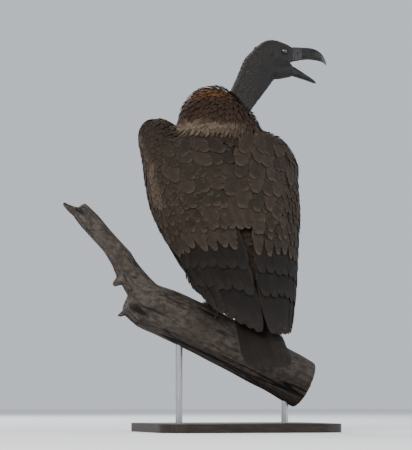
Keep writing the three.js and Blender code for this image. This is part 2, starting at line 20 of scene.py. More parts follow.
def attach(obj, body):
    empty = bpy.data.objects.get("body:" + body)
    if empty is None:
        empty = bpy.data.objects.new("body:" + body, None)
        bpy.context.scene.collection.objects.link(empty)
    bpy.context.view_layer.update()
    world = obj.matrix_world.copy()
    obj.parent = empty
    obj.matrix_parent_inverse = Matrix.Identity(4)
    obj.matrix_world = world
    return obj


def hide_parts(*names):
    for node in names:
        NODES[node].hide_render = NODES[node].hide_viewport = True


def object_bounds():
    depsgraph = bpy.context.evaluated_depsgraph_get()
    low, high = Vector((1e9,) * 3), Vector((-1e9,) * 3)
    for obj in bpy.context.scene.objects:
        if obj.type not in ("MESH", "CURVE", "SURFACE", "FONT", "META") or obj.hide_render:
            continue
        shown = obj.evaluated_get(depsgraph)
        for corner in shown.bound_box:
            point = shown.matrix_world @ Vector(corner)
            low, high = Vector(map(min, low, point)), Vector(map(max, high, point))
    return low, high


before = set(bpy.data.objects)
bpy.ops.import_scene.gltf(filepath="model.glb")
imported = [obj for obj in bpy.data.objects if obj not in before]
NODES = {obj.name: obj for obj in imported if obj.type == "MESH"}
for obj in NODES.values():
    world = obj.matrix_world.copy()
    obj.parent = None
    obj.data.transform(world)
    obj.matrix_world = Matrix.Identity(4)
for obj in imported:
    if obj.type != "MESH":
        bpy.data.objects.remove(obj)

CAD_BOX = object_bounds()
FEET = np.array([0.0, -22.0, 262.0])  # the point between the feet, from the middle of the stand's underside
rng = np.random.default_rng(12)
print("solids:", len(NODES), "box:", [[round(c, 3) for c in corner] for corner in CAD_BOX])

# %% [markdown]
# ## Camera
#
# The bird is looked at from behind and a little to its left, by someone lower than its feet. A long lens
# keeps it free of perspective, as a viewer sees a bird high in a tree. The camera could be placed by hand,
# but it is safer to aim it at the middle of the solids' box and step back along one direction.

# %% Camera
TURN, TILT = math.radians(164), math.radians(-4)
FOCAL_LENGTH = 195  # millimetres, a very long lens
STEP_BACK = 5.6  # metres from the middle of the model
OFF_MIDDLE = Vector((0.012, 0, 0.006))  # metres, to leave even margins round the outline


def look_along(thing, backwards):
    """Turns a camera or lamp to face the other way from backwards, and adds it to the scene."""
    thing.rotation_euler = backwards.to_track_quat("Z", "Y").to_euler()
    bpy.context.scene.collection.objects.link(thing)


lowest, highest = (np.array(corner) for corner in CAD_BOX)
aim = Vector((lowest + highest) / 2) + OFF_MIDDLE
backwards = Vector((math.sin(TURN) * math.cos(TILT), -math.cos(TURN) * math.cos(TILT), math.sin(TILT)))
lens = bpy.data.cameras.new("long_lens")
lens.lens = FOCAL_LENGTH
camera = bpy.data.objects.new("camera", lens)
camera.location = aim + backwards * STEP_BACK
look_along(camera, backwards)
bpy.context.scene.camera = camera
print("camera stands", round(camera.location.z, 3), "m above the floor")

# %% [markdown]
# ## Floor and light
#
# Dark feathers need a lot of soft light, or they turn into one black shape. Three large lamps do it: a
# broad one behind the bird and to one side, a weaker and cooler one on the other side, and a third in front
# of it that lights the breast. A pale sky fills in the rest. A ready-made sky picture would also work, but
# it would tie the scene to a file.

# %% Floor and light
FLOOR_REACH = 9.0  # metres from the middle to each side
corners = [(x * FLOOR_REACH, y * FLOOR_REACH, 0) for x, y in ((-1, -1), (1, -1), (1, 1), (-1, 1))]
floor_mesh = bpy.data.meshes.new("floor")
floor_mesh.from_pydata(corners, [], [(0, 1, 2, 3)])
floor = bpy.data.objects.new("floor", floor_mesh)
bpy.context.scene.collection.objects.link(floor)


def lamp(name, place, size, power, tint=(1, 1, 1)):
    """A square soft lamp that looks at the bird."""
    light = bpy.data.lights.new(name, "AREA")
    light.size, light.energy, light.color = size, power, tint
    holder = bpy.data.objects.new(name, light)
    holder.location = place
    look_along(holder, Vector(place) - aim)


lamp("lamp_broad", (2.6, 3.4, 2.8), 2.4, 210, (1, 0.97, 0.93))
lamp("lamp_fill", (-3.4, 1.8, 1.7), 2.8, 90, (0.93, 0.96, 1))
lamp("lamp_front", (0.8, -3.6, 2.9), 2.6, 150)
sky = bpy.data.worlds.new("pale_sky")
sky.use_nodes = True
backdrop = sky.node_tree.nodes["Background"].inputs
backdrop["Color"].default_value = (0.86, 0.91, 1, 1)
backdrop["Strength"].default_value = 0.75
bpy.context.scene.world = sky
print("lamps:", [name for name in bpy.data.lights.keys() if name.startswith("lamp")])

# %% [markdown]
# ## Measuring tools
#
# A few small tools carry the whole lesson. `track` runs a smooth curve through a few keys, which is how
# the body, wings, bill and tail are described. `ease` is a soft step and `bump` a soft hill, and they say
# how strongly something acts at a place. Blender's curves could do it, but arrays are far quicker.

# %% Measuring tools
def track(keys):
    """A smooth curve of numbers through keys (at, value, value...), for one place or many."""
    keys = np.array(keys, float)
    at_key, values = keys[:, 0], keys[:, 1:]
    slope = np.gradient(values, at_key, axis=0)
    slope[1:-1] = (values[2:] - values[:-2]) / (at_key[2:] - at_key[:-2])[:, None]

    def curve(at):
        at = np.clip(np.asarray(at, float), at_key[0], at_key[-1])
        i = np.clip(np.searchsorted(at_key, at, side="right") - 1, 0, len(keys) - 2)
        span = (at_key[i + 1] - at_key[i])[..., None]
        t = (at[..., None] - at_key[i][..., None]) / span
        return (
            (2 * t**3 - 3 * t**2 + 1) * values[i]
            + (t**3 - 2 * t**2 + t) * span * slope[i]
            + (3 * t**2 - 2 * t**3) * values[i + 1]
            + (t**3 - t**2) * span * slope[i + 1]
        )

    return curve


def ease(value, low, high):
    """Goes smoothly from 0 at low to 1 at high."""
    t = np.clip((value - low) / (high - low), 0, 1)
    return t * t * (3 - 2 * t)


def bump(distance, reach):
    """A soft hill: 1 where distance is 0, and nearly 0 beyond twice its reach."""
    return np.exp(-((distance / reach) ** 2))


def unit(v):
    """The same directions, each one long."""
    return v / np.maximum(np.linalg.norm(v, axis=-1, keepdims=True), 1e-9)


print("ease and bump half way:", ease(0.5, 0, 1), round(float(bump(0.5, 1)), 3))

# %% [markdown]
# `noise` gives soft random bumps that are the same on every run, for relief and for uneven colour. The
# noise of a material can't move a point. Each grid corner's numbers are stirred with large primes.

# %% Noise
HASH_PRIMES = (73856093, 19349663, 83492791)


def noise(points, size, seed=0):
    """Soft random bumps between -1 and 1, about `size` apart."""
    cell = points / size + 31.7 * seed
    low = np.floor(cell).astype(np.int64)
    part = cell - low
    part = part * part * (3 - 2 * part)
    total = np.zeros(len(points))
    for corner in np.ndindex(2, 2, 2):
        x, y, z = ((low + corner) * HASH_PRIMES).T
        stirred = x ^ y ^ z ^ (seed * 2654435)
        stirred = ((stirred ^ (stirred >> 13)) * 1274126177) & 0xFFFFFF
        total += np.prod(np.where(corner, part, 1 - part), axis=1) * (stirred / 0x7FFFFF - 1)
    return total


print("noise at three places:", noise(np.array([[0.0, 0, 0], [5, 5, 5], [9, 2, 4]]), 4).round(3))

# %% [markdown]
# `make` turns arrays of points and faces into one Blender object and ties it to the model. Colours and
# numbers for the finish are kept at the points.

# %% Making a piece
def make(name, points, faces, slot, finish, smooth=True, replaces=(), **marks):
    """One object from points in millimetres, in a Finish; marks are colours or numbers kept at each point."""
    faces = np.asarray(faces, np.int32)
    corners = faces.shape[1]
    mesh = bpy.data.meshes.new(name)
    mesh.vertices.add(len(points))
    mesh.vertices.foreach_set("co", ((points + FEET) / 1000).astype(np.float32).ravel())
    mesh.loops.add(faces.size)
    mesh.loops.foreach_set("vertex_index", faces.ravel())
    mesh.polygons.add(len(faces))
    mesh.polygons.foreach_set("loop_start", np.arange(0, faces.size, corners, dtype=np.int32))
    for key, values in marks.items():
        values = values.astype(np.float32)
        if key == "OFBake":
            layer = mesh.uv_layers.new(name=key, do_init=False)
            layer.uv.foreach_set("vector", values[faces.ravel()].ravel())
        elif values.ndim == 1:
            mesh.attributes.new(key, "FLOAT", "POINT").data.foreach_set("value", values)
        else:
            layer = mesh.attributes.new(key, "FLOAT_COLOR", "POINT")
            if values.shape[1] == 3:
                values = np.c_[values, np.ones(len(values), np.float32)]
            layer.data.foreach_set("color", values.ravel())
    mesh.update(calc_edges=True)
    mesh.polygons.foreach_set("use_smooth", np.full(len(faces), smooth))
    mesh.materials.append(finish.material)
    piece = bpy.data.objects.new(name, mesh)
    bpy.context.scene.collection.objects.link(piece)
    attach(piece, "root")
    if replaces:
        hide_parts(*replaces)
    print(f"{name}: {len(faces) * (corners - 2)} triangles")

# %% [markdown]
# ## Finishes
#
# A finish is a small network of nodes. Writing each node by hand takes many lines, so a short helper adds
# a node and joins what is passed to it. Every finish keeps its patterns in the object's own coordinates or
# in numbers stored at the points, so nothing slides when the viewer walks round.

# %% Finish helpers
MIX_UNDER, MIX_OVER, MIX_RESULT = 6, 7, 2  # the colour sockets of a Mix node, which share their names


class Finish:
    """A material and a short way to add nodes to it."""

    def __init__(self, name, roughness=0.6, **shine):
        self.material = bpy.data.materials.new(name)
        self.material.use_nodes = True
        self.nodes = self.material.node_tree.nodes
        self.shader = self.nodes["Principled BSDF"]
        self.shader.inputs["Roughness"].default_value = roughness
        for socket, value in shine.items():
            self.shader.inputs[socket.replace("_", " ")].default_value = value

    def wire(self, source, target):
        """Joins an output to an input."""
        self.material.node_tree.links.new(source, target)

    def add(self, kind, inputs=(), **settings):
        """Adds a node; inputs is a list of (socket, value or another node's output)."""
        node = self.nodes.new("ShaderNode" + kind)
        for key, value in settings.items():
            setattr(node, key, value)
        for socket, value in inputs:
            if isinstance(value, bpy.types.NodeSocket):
                self.wire(value, node.inputs[socket])
            else:
                node.inputs[socket].default_value = value
        return node

    def place(self, stretch=(1, 1, 1)):
        """The object's own coordinates in metres, stretched along each axis."""
        spot = self.add("TexCoord").outputs["Object"]
        return self.add("Mapping", [("Vector", spot), ("Scale", stretch)]).outputs["Vector"]

    def cloud(self, size, detail=3, stretch=(1, 1, 1), rough=0.5):
        """A noise from 0 to 1 whose spots are about size millimetres across."""
        sockets = [("Vector", self.place(stretch)), ("Scale", 1000 / size)]
        sockets += [("Detail", detail), ("Roughness", rough)]
        return self.add("TexNoise", sockets).outputs["Fac"]

    def cells(self, size):
        """The distance to the nearest of many scattered points, size millimetres apart."""
        return self.add("TexVoronoi", [("Vector", self.place()), ("Scale", 1000 / size)]).outputs["Distance"]

    def mark(self, name, output="Color"):
        """What make stored at the points under a name; output is Color, Fac or Alpha."""
        return self.add("Attribute", attribute_name=name).outputs[output]

    def reckon(self, operation, a, b=0.0):
        """One sum with two numbers or outputs; operation is ADD, MULTIPLY, MAXIMUM or SINE of a."""
        return self.add("Math", [(0, a), (1, b)], operation=operation).outputs["Value"]

    def ramp(self, value, low, high, start=0.0, end=1.0):
        """Turns a number between low and high into one between start and end."""
        sockets = [("Value", value), ("From Min", low), ("From Max", high)]
        sockets += [("To Min", start), ("To Max", end)]
        return self.add("MapRange", sockets, interpolation_type="SMOOTHSTEP").outputs["Result"]

    def blend(self, share, under, over, way="MIX"):
        """Lays one colour over another by a share from 0 to 1; colours are outputs or (red, green, blue)."""
        sockets = [(0, share)]
        for socket, colour in ((MIX_UNDER, under), (MIX_OVER, over)):
            sockets.append((socket, (*colour, 1) if isinstance(colour, tuple) else colour))
        return self.add("Mix", sockets, data_type="RGBA", blend_type=way).outputs[MIX_RESULT]

    def finish(self, colour, height=None, depth=0.3, strength=1.0, roughness=None):
        """Sets the colour, a relief that is depth millimetres deep, and a varying roughness."""
        self.wire(colour, self.shader.inputs["Base Color"])
        if roughness is not None:
            self.wire(roughness, self.shader.inputs["Roughness"])
        if height is not None:
            sockets = [("Height", height), ("Distance", depth / 1000), ("Strength", strength)]
            self.wire(self.add("Bump", sockets).outputs["Normal"], self.shader.inputs["Normal"])


# %% [markdown]
# ## The bird's colours
#
# Skin and feathers have to agree, or bare gaps would show as patches of a wrong colour. So one function
# says what colour the bird is at any place: dark grey on the head and neck, dark brown on the crop with
# painted orange light on its top, a narrow pale band under it, earth brown on the body and wings, and nearly
# black on the wing tips and tail. The skin and most feathers ask it. A painted map would need a picture file.

# %% Colours by place
GREY_SKIN = (0.013, 0.012, 0.0115)
DOWN = (0.15, 0.13, 0.11)
CROP_BROWN = (0.038, 0.022, 0.014)
# painted warm light for the top of the crop
CROP_TOP_PAINTED_LIGHT = (0.12, 0.055, 0.022)
RUFF_PALE = (0.20, 0.148, 0.105)
BACK_BROWN = (0.028, 0.020, 0.014)
COVERT_BROWN = (0.034, 0.024, 0.0165)
# painted light: a pale rim along the wings' outer edges
PAINTED_RIM_LIGHT = (0.17, 0.125, 0.088)
BREAST_BROWN = (0.064, 0.045, 0.031)
FLIGHT_BLACK = (0.0105, 0.008, 0.0065)
NECK_FOOT = np.array([-44.0, -111.0, 508.0])  # where the neck comes out of the crop
NECK_WAY = unit(np.array([-0.6, -0.03, 0.8]))  # from there up to the head
NECK_RADIUS = 37.0
RUFF_X, RUFF_Y = 6.0, -100.0  # the upright middle line of the crop and ruff
BAND_TOP = 441.0  # height of the pale band at its lower end


def mixed(under, over, share):
    """Colours or directions between two others, with a share from 0 to 1 for each place."""
    return np.asarray(under) * (1 - share[:, None]) + np.asarray(over) * share[:, None]


def plumage(p):
    """The feather colour at places on the bird, in millimetres from the feet."""
    x, y, z = p.T
    colour = mixed(COVERT_BROWN, BACK_BROWN, ease(y, -60, 60))
    colour = mixed(colour, BREAST_BROWN, ease(-y, 60, 150) * (1 - ease(np.abs(x), 120, 165)))
    colour = mixed(colour, FLIGHT_BLACK, ease(y - 0.9 * z, 30, 150))
    ruff = 1 - ease(np.hypot(x - RUFF_X, y - RUFF_Y), 102, 120)
    colour = mixed(colour, CROP_BROWN, ruff * ease(z, 440, 480))
    # painted light: the top of the crop turns orange, more so higher up
    colour = mixed(colour, CROP_TOP_PAINTED_LIGHT, ruff * ease(z, 508, 546))
    band = z - BAND_TOP - 12 * ease(x, -100, 90)  # it runs a little higher towards the left side
    band = ease(band, -28, -12) * (1 - ease(band, 4, 20)) * (0.5 + 0.4 * ease(x, -60, 80))
    colour = mixed(colour, RUFF_PALE, ruff * band)
    up_neck = (p - NECK_FOOT) @ NECK_WAY
    beside = np.linalg.norm(p - NECK_FOOT - up_neck[:, None] * NECK_WAY, axis=1)
    outside = beside - NECK_RADIUS - 0.6 * np.maximum(up_neck - 30, 0)  # the neck widens upwards
    colour = mixed(colour, GREY_SKIN, ease(up_neck, -4, 10) * (1 - ease(outside, 0, 9)))
    colour = mixed(colour, GREY_SKIN, ease(z, 572, 587))
    return colour * (1 + 0.18 * noise(p, 26, 3) + 0.12 * noise(p, 9, 4))[:, None]


print("colour between the shoulders:", plumage(np.array([[0.0, 0, 380]])).round(3))


# %% [markdown]
# ## Skin
#
# Under the feathers lies one unbroken skin. The solids of the trunk, wings, thighs, crop, neck and head are
# fused with a voxel remesh, smoothed, and let down by the depth of the coat, less where a wing is thin.
# The head needs far finer detail than the trunk, so it is fused on its own with small voxels, shaped, and
# then welded to the body by a boolean. Sculpting by hand would work too, but it couldn't be repeated.
#
# First come the helpers that read a mesh as arrays, make a throwaway object of arrays, and fuse shapes.

# %% Fusing solids
def arrays_of(mesh):
    """The points and triangles of a mesh."""
    mesh.calc_loop_triangles()
    points, faces = np.empty(len(mesh.vertices) * 3), np.empty(len(mesh.loop_triangles) * 3, np.int32)
    mesh.vertices.foreach_get("co", points)
    mesh.loop_triangles.foreach_get("vertices", faces)
    return points.reshape(-1, 3), faces.reshape(-1, 3)


def local(name):
    """Points in millimetres from the feet, and triangles, of a solid."""
    points, faces = arrays_of(NODES[name].data)
    return points * 1000 - FEET, faces


def joined(parts):
    """Several (points, faces) as one."""
    start = np.cumsum([0] + [len(points) for points, _ in parts])
    faces = [faces + first for (_, faces), first in zip(parts, start)]
    return np.concatenate([points for points, _ in parts]), np.concatenate(faces)


def shape_of(piece):
    """The final points and triangles of an object in millimetres, with its modifiers applied."""
    mesh = bpy.data.meshes.new_from_object(piece.evaluated_get(bpy.context.evaluated_depsgraph_get()))
    result = arrays_of(mesh)
    bpy.data.meshes.remove(mesh)
    return result


def scratch(points, faces):
    """A throwaway object in millimetres."""
    mesh = bpy.data.meshes.new("scratch")
    mesh.from_pydata(points.tolist(), [], faces.tolist())
    piece = bpy.data.objects.new("scratch", mesh)
    bpy.context.scene.collection.objects.link(piece)
    return piece


def fused(parts, voxel):
    """One closed surface round several closed shapes, on a grid of voxel millimetres."""
    piece = scratch(*joined(parts))
    grid = piece.modifiers.new("grid", "REMESH")
    grid.mode, grid.voxel_size = "VOXEL", voxel
    result = shape_of(piece)
    bpy.data.meshes.remove(piece.data)
    return result


print("trunk solid:", len(local("trunk")[0]), "points")

# %% [markdown]
# Smoothing and normals are worked out from the arrays, because they are needed between steps, when there
# is no object yet. Search trees then tell which place on a surface or which point is nearest.

# %% Smoothing, normals and trees
def added_up(index, values, count):
    """The sum, for each of count points, of the rows of values that belong to it."""
    return np.stack([np.bincount(index, values[:, k], count) for k in range(3)], 1)


def smoothed(points, faces, times, share=0.5):
    """Moves each point towards the middle of its neighbours, a few times."""
    pairs = np.sort(np.concatenate([faces[:, [0, 1]], faces[:, [1, 2]], faces[:, [2, 0]]]), axis=1)
    a, b = np.unique(pairs, axis=0).T
    ends, others = np.r_[a, b], np.r_[b, a]
    count = np.bincount(ends, minlength=len(points))[:, None]
    for _ in range(times):
        points = points + share * (added_up(ends, points[others], len(points)) / count - points)
    return points


def normals(points, faces):
    """The direction out of the surface at each point."""
    a, b, c = (points[faces[:, k]] for k in range(3))
    return unit(added_up(faces.ravel(), np.repeat(np.cross(b - a, c - a), 3, axis=0), len(points)))


def surface_tree(points, faces):
    """Finds the nearest place on a surface, and what a ray hits."""
    return BVHTree.FromPolygons(points.tolist(), faces.tolist())


def nearest_points(places, points):
    """For each place, which of the points is nearest and how far away it is."""
    tree = KDTree(len(points))
    for i, point in enumerate(points):
        tree.insert(Vector(point), i)
    tree.balance()
    found = [tree.find(Vector(place)) for place in places]
    return np.array([f[1] for f in found]), np.array([f[2] for f in found])


print("trunk normals:", len(normals(*local("trunk"))))

# %% [markdown]
# The head's own frame makes its details easy to place: `side` runs across it, `up` through the crown and
# `ahead` along the bill. A tube helper is written here too, since folds of skin and claws need it.

# %% Head frame
HEAD = np.array([-137.0, -105.0, 638.0])
AHEAD = unit(np.array([-0.985, 0.12, -0.05]))
UP = unit(np.array([0, 0, 1]) - AHEAD * AHEAD[2])
SIDE = np.cross(UP, AHEAD)
AXES = np.stack([SIDE, UP, AHEAD])
EYE_AHEAD, EYE_UP, EYE_OUT, EYE_RADIUS = 20.0, 8.0, 17.5, 9.0
SIDES = ((1, "left"), (-1, "right"))


def from_head(p):
    """Places on the bird, given in the head's frame as (side, up, ahead)."""
    return p @ AXES + HEAD


def to_head(p):
    """Places in the head's frame, given on the bird."""
    return (p - HEAD) @ AXES.T


def tube(path, radii, around=12):
    """A closed round tube along points, with a radius at each."""
    path, radii = np.asarray(path, float), np.asarray(radii, float)
    along = unit(np.gradient(path, axis=0))
    hint = np.array([0.31, 0.2, 0.93]) if abs(along[0, 2]) < 0.8 else np.array([1.0, 0.1, 0.05])
    side = unit(np.cross(along, hint))
    top = np.cross(side, along)
    turn = np.linspace(0, 2 * np.pi, around, endpoint=False)
    ring = side[:, None] * np.cos(turn)[None, :, None] + top[:, None] * np.sin(turn)[None, :, None]
    points = (path[:, None] + ring * radii[:, None, None]).reshape(-1, 3)
    return np.vstack([points, path[0], path[-1]]), tube_faces(len(path), around)


def tube_faces(rings, around):
    """Triangles for rings of points that are followed by the middles of the first and the last ring."""
    i, j = np.meshgrid(np.arange(rings - 1), np.arange(around), indexing="ij")
    a, b = (i * around + j).ravel(), (i * around + (j + 1) % around).ravel()
    start, end, j = rings * around, rings * around + 1, np.arange(around)
    last = (rings - 1) * around
    return np.concatenate([
        np.c_[a, b, b + around], np.c_[a, b + around, a + around],
        np.c_[np.full(around, start), (j + 1) % around, j],
        np.c_[np.full(around, end), last + j, last + (j + 1) % around],
    ])


print("eye stands", from_head(np.array([EYE_OUT, EYE_UP, EYE_AHEAD])).round(1), "mm from the feet")

# %% [markdown]
# Each point of the fused body sinks along its normal by the depth of the coat. A ray sent inwards measures
# how thick the body is there, so that a thin wing edge sinks only a little. A plain solidify modifier
# would sink every place alike and turn the wing tips inside out.

# %% Skin of the body
FLESH = ["trunk", "ruff", "neck", "head", "wing_left", "wing_right", "thigh_left", "thigh_right"]
COAT_DEPTH = 8.0
BODY_VOXEL, HEAD_VOXEL = 5, 1.4


def sunk(points, faces, depth):
    """Lets a surface down by depth at each point, first cutting depth to a third of what is under it."""
    out = normals(points, faces)
    tree = surface_tree(points, faces)
    for i, (p, n) in enumerate(zip(points, out)):
        hit = tree.ray_cast(Vector(p - n * 0.5), Vector(-n))
        if hit[3] is not None:
            depth[i] = min(depth[i], hit[3] / 3)
    return points - out * depth[:, None]


body_parts = [local(name) for name in FLESH if name != "head"]
# A fold of skin fills the pocket between the raised left shoulder and the neck, as on a real bird, and a
# second one runs under the shoulder's edge, which the voxel grid would otherwise wear away.
pocket_fold = [(114, -84, 396), (121, -90, 418), (130, -94, 440), (140, -97, 455)]
shoulder_fold = [(120, -94, 448), (137, -98, 464), (156, -101, 467), (174, -104, 458)]
body_parts += [tube(pocket_fold, [26, 26, 22, 10]), tube(shoulder_fold, [13, 15, 15, 11])]
outline, outline_faces = fused(body_parts, BODY_VOXEL)
outline = smoothed(outline, outline_faces, 8)
coat_depth = np.full(len(outline), COAT_DEPTH)
body = sunk(outline, outline_faces, coat_depth)
body = smoothed(body, outline_faces, 4)
print("coat depth:", coat_depth.min().round(1), "to", coat_depth.max().round(1), "mm")

# %% [markdown]
# On the head, soft hollows and ridges are pushed in or out in its own frame: the brow over the eye, the
# hollow before it, the ear behind the gape, and the wrinkles of loose neck skin. Each is a soft hill with a
# place, a reach and a height, so a form can be moved or made stronger by changing one number.

# %% Skin of the head
SOFT_FORMS = {  # height, place and reach ahead, place and reach up, and where it starts and is full sideways
    "brow": (1.6, 22, 13, 18, 4.5, 12, 20),
    "hollow before the eye": (-2.2, 36, 9, 6, 8, 10, 16),
    "socket": (-1.5, 19, 14, 8, 14, 14, 20),
    "cheek": (1.2, 18, 14, -12, 6, 14, 20),
}
EAR_AHEAD, EAR_UP = -9, -7
WRINKLES_ACROSS = unit(np.array([0.55, 0.15, 0.8]))  # the direction across the folds of the neck
DOWN_ROOTS = 0.4, 1.6  # how far the skin is let down on the face, and how much more on the nape


def folds(p):
    """How far the skin of the head and neck stands out from its smooth form, in millimetres."""
    side, up, ahead = to_head(p).T
    wide = np.abs(side)
    out = np.zeros(len(p))
    for height, at, reach, at_up, reach_up, start, full in SOFT_FORMS.values():
        out += height * bump(ahead - at, reach) * bump(up - at_up, reach_up) * ease(wide, start, full)
    ear = np.hypot(ahead - EAR_AHEAD, (up - EAR_UP) / 1.5)
    out += (0.9 * bump(ear - 6.2, 2.0) - 3.6 * bump(ear, 3.6)) * ease(wide, 12, 20)
    gape = np.abs(up + 16 + 0.2 * (33 - ahead))  # the line of the mouth, drawn on behind the bill
    out += (1.1 * bump(gape - 2.6, 1.4) - 0.8 * bump(gape, 1.6)) * ease(ahead, 14, 30) * ease(wide, 8, 16)
    face = ease(ahead, -45, -15)
    out += 0.35 * noise(p, 4.2, 7) + 0.22 * noise(p, 2.0, 8) * face
    crease = p @ WRINKLES_ACROSS + 3 * noise(p, 22, 5) + 1.5 * noise(p, 9, 6)
    wrinkle = 0.65 * np.sin(crease * 0.95) + 0.4 * np.sin(crease * 2.3 + 1)
    out += wrinkle * (1 - face) * ease(-p[:, 0], 25, 60)
    chin = ease(-up, 30, 42) * ease(ahead, -30, 0)
    return out + 0.5 * np.sin(ahead * 1.1 + 2 * noise(p, 12, 9)) * chin


face_shape, face_faces = fused([local("head"), local("neck")], HEAD_VOXEL)
face_shape = smoothed(face_shape, face_faces, 7)
side, up, ahead = to_head(face_shape).T
over_mouth = ease(up, -22, -12) * ease(ahead, 31, 45)  # drawn in under the cere, which goes round it
side, up = side * (1 - 0.2 * over_mouth), up - 1.6 * ease(up, 8, 20) * over_mouth
face_shape = from_head(np.stack([side, up, ahead], 1))
depth = DOWN_ROOTS[0] + DOWN_ROOTS[1] * ease(-to_head(face_shape)[:, 2], 10, 60)
face_shape = sunk(face_shape, face_faces, depth)
face_shape = face_shape + normals(face_shape, face_faces) * folds(face_shape)[:, None]
face_shape = smoothed(face_shape, face_faces, 1, 0.35)
print("face folds:", folds(face_shape).min().round(1), "to", folds(face_shape).max().round(1), "mm")

# %% [markdown]
# Eyelids need crisp edges that a voxel grid would blur, so they are a ring of their own, laid over the ball
# and welded to the face. Its inner edge follows the almond opening, just off the ball; it rises to a soft
# rim, carries a few concentric wrinkles, and its outer edge dives under the skin of the face.

# %% Eyelids
LID_LONG, LID_TALL = 7.5, 4.7  # half of the opening, in millimetres
LID_TOP = [  # how far outside the opening, and how high over the ball or the face
    (-0.1, -1.6), (-0.2, 0.1), (0.05, 0.7), (0.5, 1.15), (1.1, 1.35), (1.8, 1.2), (2.5, 0.85), (3.2, 1.0),
    (3.9, 1.05), (4.6, 0.6), (5.3, 0.6), (6.1, 0.75), (7.0, 0.4), (8.2, 0.2), (9.6, -1.2),
]
LID_UNDERSIDE = [(7.5, -3.5), (4.5, -4.5), (1.5, -4.0)]
FAR_OUT = 40.0  # millimetres outside the head, where rays start


def eye_frame(sign):
    """The directions out of the eye, forwards and upwards, in the head's own frame."""
    look = unit(np.array([sign, 0.04, 0.16]))
    fore = unit(np.array([0, 0, 1.0]) - look * look[2])
    rise = np.array([0, 1.0, 0])
    return look, fore, unit(rise - look * (rise @ look) - fore * (rise @ fore))


def eye_middle(sign):
    """The middle of an eyeball in the head's own frame; sign is 1 on the left and -1 on the right."""
    return np.array([sign * EYE_OUT, EYE_UP, EYE_AHEAD])


def eyelids(sign, tree):
    """Both lids of one eye as a closed ring: points and triangles."""
    look, fore, rise = eye_frame(sign)
    turn = np.linspace(0, 2 * np.pi, 108, endpoint=False)
    c, s = np.cos(turn), np.sin(turn)
    edge = np.stack([LID_LONG * c, LID_TALL * np.sign(s) * np.abs(s) ** 1.2 - 0.7 * c], 1)
    away = unit(np.stack([c / LID_LONG, s / LID_TALL], 1))
    over = 0.5 + 0.5 * s  # the upper lid is thicker than the lower one
    rings = []
    for beyond, height in LID_TOP + LID_UNDERSIDE:
        flat = edge + away * beyond
        place = eye_middle(sign) + flat[:, :1] * fore + flat[:, 1:] * rise
        starts, way = from_head(place + look * FAR_OUT), Vector(-look @ AXES)
        skin_out = FAR_OUT - np.array([tree.ray_cast(Vector(p), way)[3] or FAR_OUT for p in starts])
        dome = np.sqrt(np.maximum(EYE_RADIUS**2 - np.sum(flat**2, axis=1), 18))
        share = ease(beyond, 1.0, 5.5)
        if height > 0:
            height = height * (1 + 0.5 * over * ease(beyond, 0, 1))
        skin_out = np.maximum(skin_out, dome * (1 - ease(beyond, 4, 8)))
        out = dome * (1 - share) + skin_out * share + height
        rings.append(place + out[:, None] * look)
    count, around = len(rings), len(turn)
    i, j = np.meshgrid(np.arange(count), np.arange(around), indexing="ij")
    a, b = (i * around + j).ravel(), (i * around + (j + 1) % around).ravel()
    up_a, up_b = (a + around) % (count * around), (b + around) % (count * around)
    faces = np.concatenate([np.c_[a, b, up_b], np.c_[a, up_b, up_a]])
    points = from_head(np.array(rings).reshape(-1, 3))
    inside_out = np.sum(points[faces[:, 0]] * np.cross(points[faces[:, 1]], points[faces[:, 2]])) < 0
    return points, faces[:, ::-1] if inside_out else faces


print("lids:", len(LID_TOP) + len(LID_UNDERSIDE), "rings each")

# %% [markdown]
# The face would still show inside the opening, in front of the ball. So its points there are pushed back
# until they lie just behind the ball's surface. Cutting a hole would leave the skin open.

# %% Room for the eyeballs
BEHIND_BALL = 0.9
for sign in (1, -1):
    look, fore, rise = eye_frame(sign)
    from_eye = to_head(face_shape) - eye_middle(sign)
    across, out = np.hypot(from_eye @ fore, from_eye @ rise), from_eye @ look
    highest = np.sqrt(np.maximum(EYE_RADIUS**2 - across**2, 0)) - BEHIND_BALL
    too_far = (across < EYE_RADIUS - 0.4) & (out > highest) & (out > 0)
    face_shape = face_shape + (np.where(too_far, highest - out, 0)[:, None] * look) @ AXES
    print("points moved back:", np.count_nonzero(too_far))

# %% [markdown]
# A boolean union welds face and lids to the body. The manifold solver is chosen because it is fast and
# always returns a closed surface when it is given closed ones.

# %% One skin
face_tree = surface_tree(face_shape, face_faces)
body_piece, face_piece = scratch(body, outline_faces), scratch(face_shape, face_faces)
lid_pieces = [scratch(*eyelids(sign, face_tree)) for sign in (1, -1)]
for piece in (face_piece, *lid_pieces):
    weld = body_piece.modifiers.new("weld", "BOOLEAN")
    weld.operation, weld.object, weld.solver = "UNION", piece, "MANIFOLD"
skin, skin_faces = shape_of(body_piece)
for piece in (body_piece, face_piece, *lid_pieces):
    bpy.data.meshes.remove(piece.data)
print("skin:", len(body), "+", len(face_shape), "points, welded:", len(skin), "triangles:", len(skin_faces))
